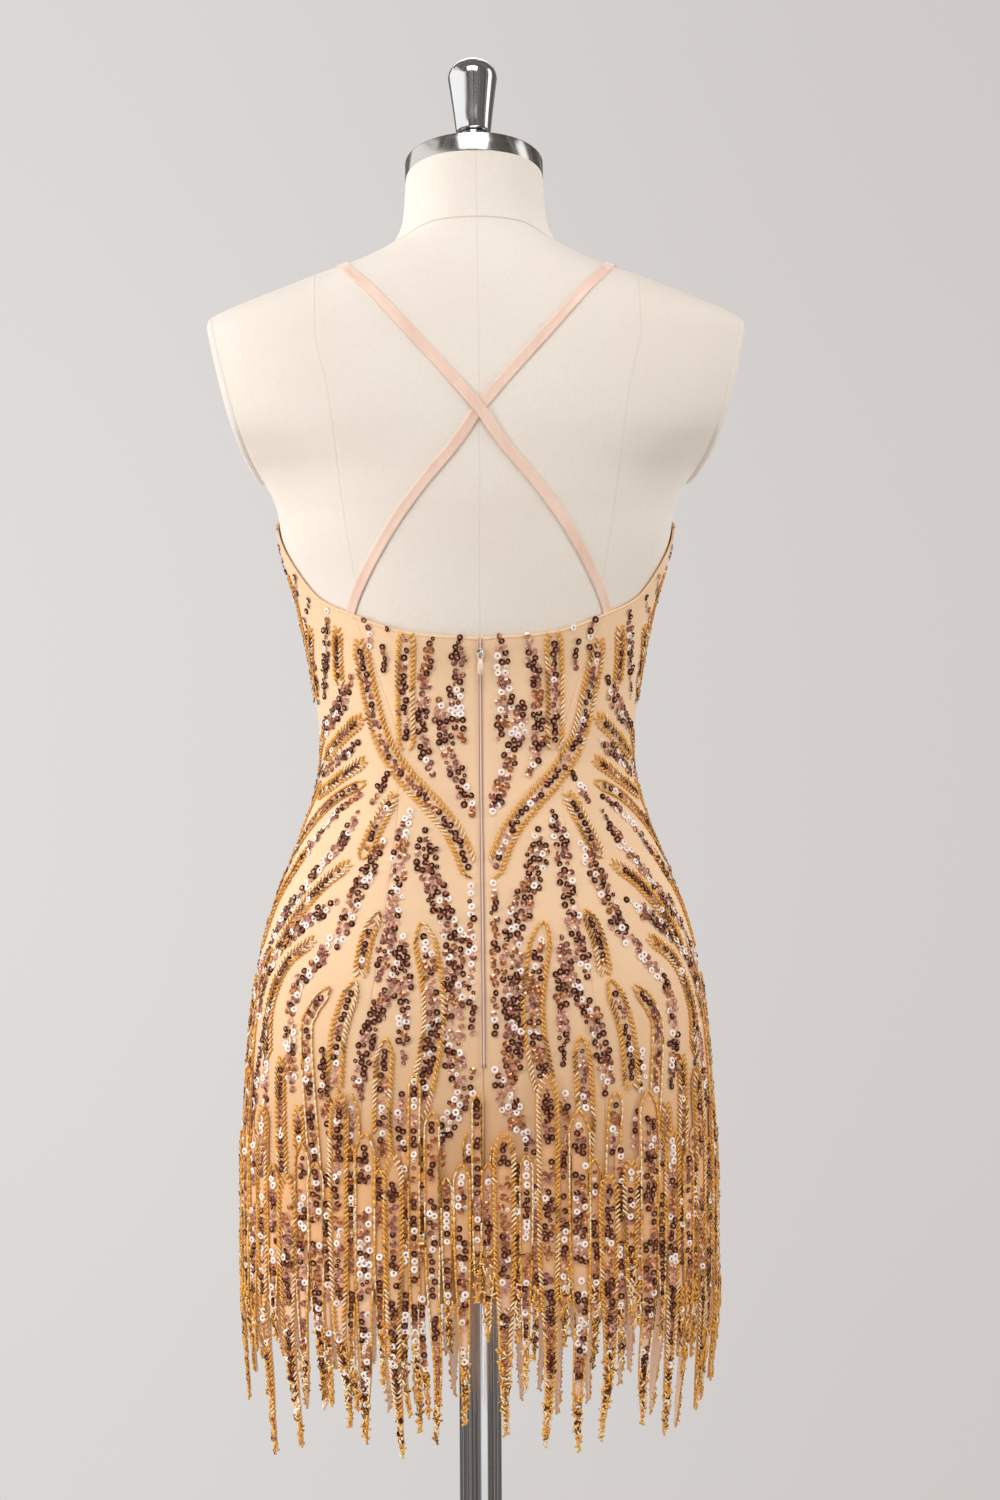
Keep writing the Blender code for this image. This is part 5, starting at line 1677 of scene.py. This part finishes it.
def backdrop_colour(tree):
    """A warm grey with painted light: a little lighter on the wearer's left and half way up."""
    x, _, z = parts_of(tree, coordinates(tree, "Generated"))
    across = ramp(tree, span(tree, x, -0.16, 0.10),
                  ((0.0, (0.645, 0.612, 0.592)), (1.0, (0.745, 0.716, 0.705))))
    darker = mix_colour(tree, 0.13, across, (0.45, 0.43, 0.41))
    return mix_colour(tree, span(tree, maths(tree, "ABSOLUTE", z), 0.02, 0.20), across, darker)


def mirror_surroundings(tree):
    """What polished surfaces mirror besides the lamps: a dim studio with upright streaks."""
    x, y, z = parts_of(tree, coordinates(tree, "Generated"))
    bearing = maths(tree, "ARCTAN2", x, y)
    streaks = add_node(tree, "ShaderNodeTexNoise", {"noise_dimensions": "1D"}, Scale=7.0, Detail=5.0,
                       Roughness=0.7)
    feed(tree, streaks.inputs["W"], bearing)
    colour = ramp(tree, streaks.outputs["Fac"], ((0.30, (0.02, 0.022, 0.03)), (0.46, (0.10, 0.09, 0.085)),
                                                 (0.56, (0.24, 0.21, 0.19)), (0.68, (0.62, 0.60, 0.58))))
    for left, right, low, high, area_colour in MIRRORED_AREAS:
        inside = times(tree, within(tree, bearing, left, right, 0.04), within(tree, z, low, high, 0.03))
        colour = mix_colour(tree, inside, colour, area_colour)
    shader = tree.nodes.new("ShaderNodeBackground")
    feed(tree, shader.inputs["Color"], colour)
    return shader.outputs[0]


def build_world():
    """A backdrop for the camera, a dim even light on the part, and what polished surfaces mirror."""
    world = bpy.data.worlds.new("studio")
    world.use_nodes = True
    bpy.context.scene.world = world
    tree = world.node_tree
    backdrop = tree.nodes["Background"]
    feed(tree, backdrop.inputs["Color"], backdrop_colour(tree))
    feed(tree, backdrop.inputs["Strength"], 1.0)
    dim = add_node(tree, "ShaderNodeBackground", Color=(1.0, 0.97, 0.95, 1.0), Strength=0.36)
    seen = tree.nodes.new("ShaderNodeLightPath")
    around = mix_shader(tree, seen.outputs["Is Glossy Ray"], dim.outputs[0], mirror_surroundings(tree))
    shader = mix_shader(tree, seen.outputs["Is Camera Ray"], around, backdrop.outputs[0])
    feed(tree, tree.nodes["World Output"].inputs["Surface"], shader)


def build_lamp(name, place, size, power):
    lamp = bpy.data.lights.new(name, "AREA")
    lamp.shape = "RECTANGLE"
    lamp.size, lamp.size_y = size
    lamp.energy = power
    piece = add_object(name, lamp)
    piece.location = place
    aim = LAMP_TARGET - Vector(place)
    piece.rotation_euler = aim.to_track_quat("-Z", "Y").to_euler()
    piece.visible_glossy = name not in LAMPS_NOT_MIRRORED


def build_camera():
    """The camera behind the part, in the photo's place."""
    camera = bpy.data.cameras.new("camera")
    camera.lens = CAMERA_LENS
    camera.sensor_width = SENSOR_WIDTH
    eye = add_object("camera", camera)
    back = Vector((math.sin(CAMERA_TURN), math.cos(CAMERA_TURN), 0))
    right = Vector((-math.cos(CAMERA_TURN), math.sin(CAMERA_TURN), 0))
    target = right * -CAMERA_ASIDE + Vector((0, 0, CAMERA_HEIGHT))
    place = Matrix.Translation(target + back * CAMERA_DISTANCE)
    facing = (-back).to_track_quat("-Z", "Y").to_matrix().to_4x4()
    eye.matrix_world = place @ facing @ Matrix.Rotation(CAMERA_ROLL, 4, "Z")
    bpy.context.scene.camera = eye


def floor_material():
    """Matt pale grey, which thins out towards the rim."""
    material, tree, shader = new_material("floor", Roughness=0.7)
    feed(tree, shader.inputs["Base Color"],
         ramp(tree, noise(tree, 3.0), ((0.3, (0.60, 0.585, 0.57)), (0.7, (0.64, 0.62, 0.605)))))
    away = add_node(tree, "ShaderNodeVectorMath", {"operation": "LENGTH"})
    feed(tree, away.inputs[0], coordinates(tree))
    feed(tree, shader.inputs["Alpha"],
         span(tree, away.outputs["Value"], 0.5, FLOOR_RADIUS - 0.1, 1.0, 0.0))
    return material


def build_stage():
    """A plain pale floor, the studio, soft lamps and the camera."""
    rim = ((0, -FLOOR_THICKNESS), (FLOOR_RADIUS, -FLOOR_THICKNESS), (FLOOR_RADIUS, 0), (0, 0))
    floor = turned_object("floor", rim, 96, floor_material())
    floor.location.z = -FLOOR_DROP
    build_world()
    for lamp in LAMPS:
        build_lamp(*lamp)
    build_camera()
    bpy.context.scene.view_settings.view_transform = "Standard"


# ---- The whole scene -----------------------------------------------------------------------


def main():
    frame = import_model()
    materials = make_materials()
    build_form(materials)
    build_metalwork(materials)
    shells = build_panels(materials)
    binding = build_binding(materials)
    straps = build_straps(materials, frame)
    build_zip(materials)

    strips = fringe_strips()
    cloth_stores = new_stores()
    bead_cloth(cloth_stores, strips)
    cloth_beads = build_beads(materials, cloth_stores, "cloth")

    nets = build_fringe_net(materials, strips)
    fringe_stores = new_stores()
    for strip in strips:
        bead_strip(fringe_stores, strip)
    fringe_beads = build_beads(materials, fringe_stores, "fringe")

    build_stage()


main()
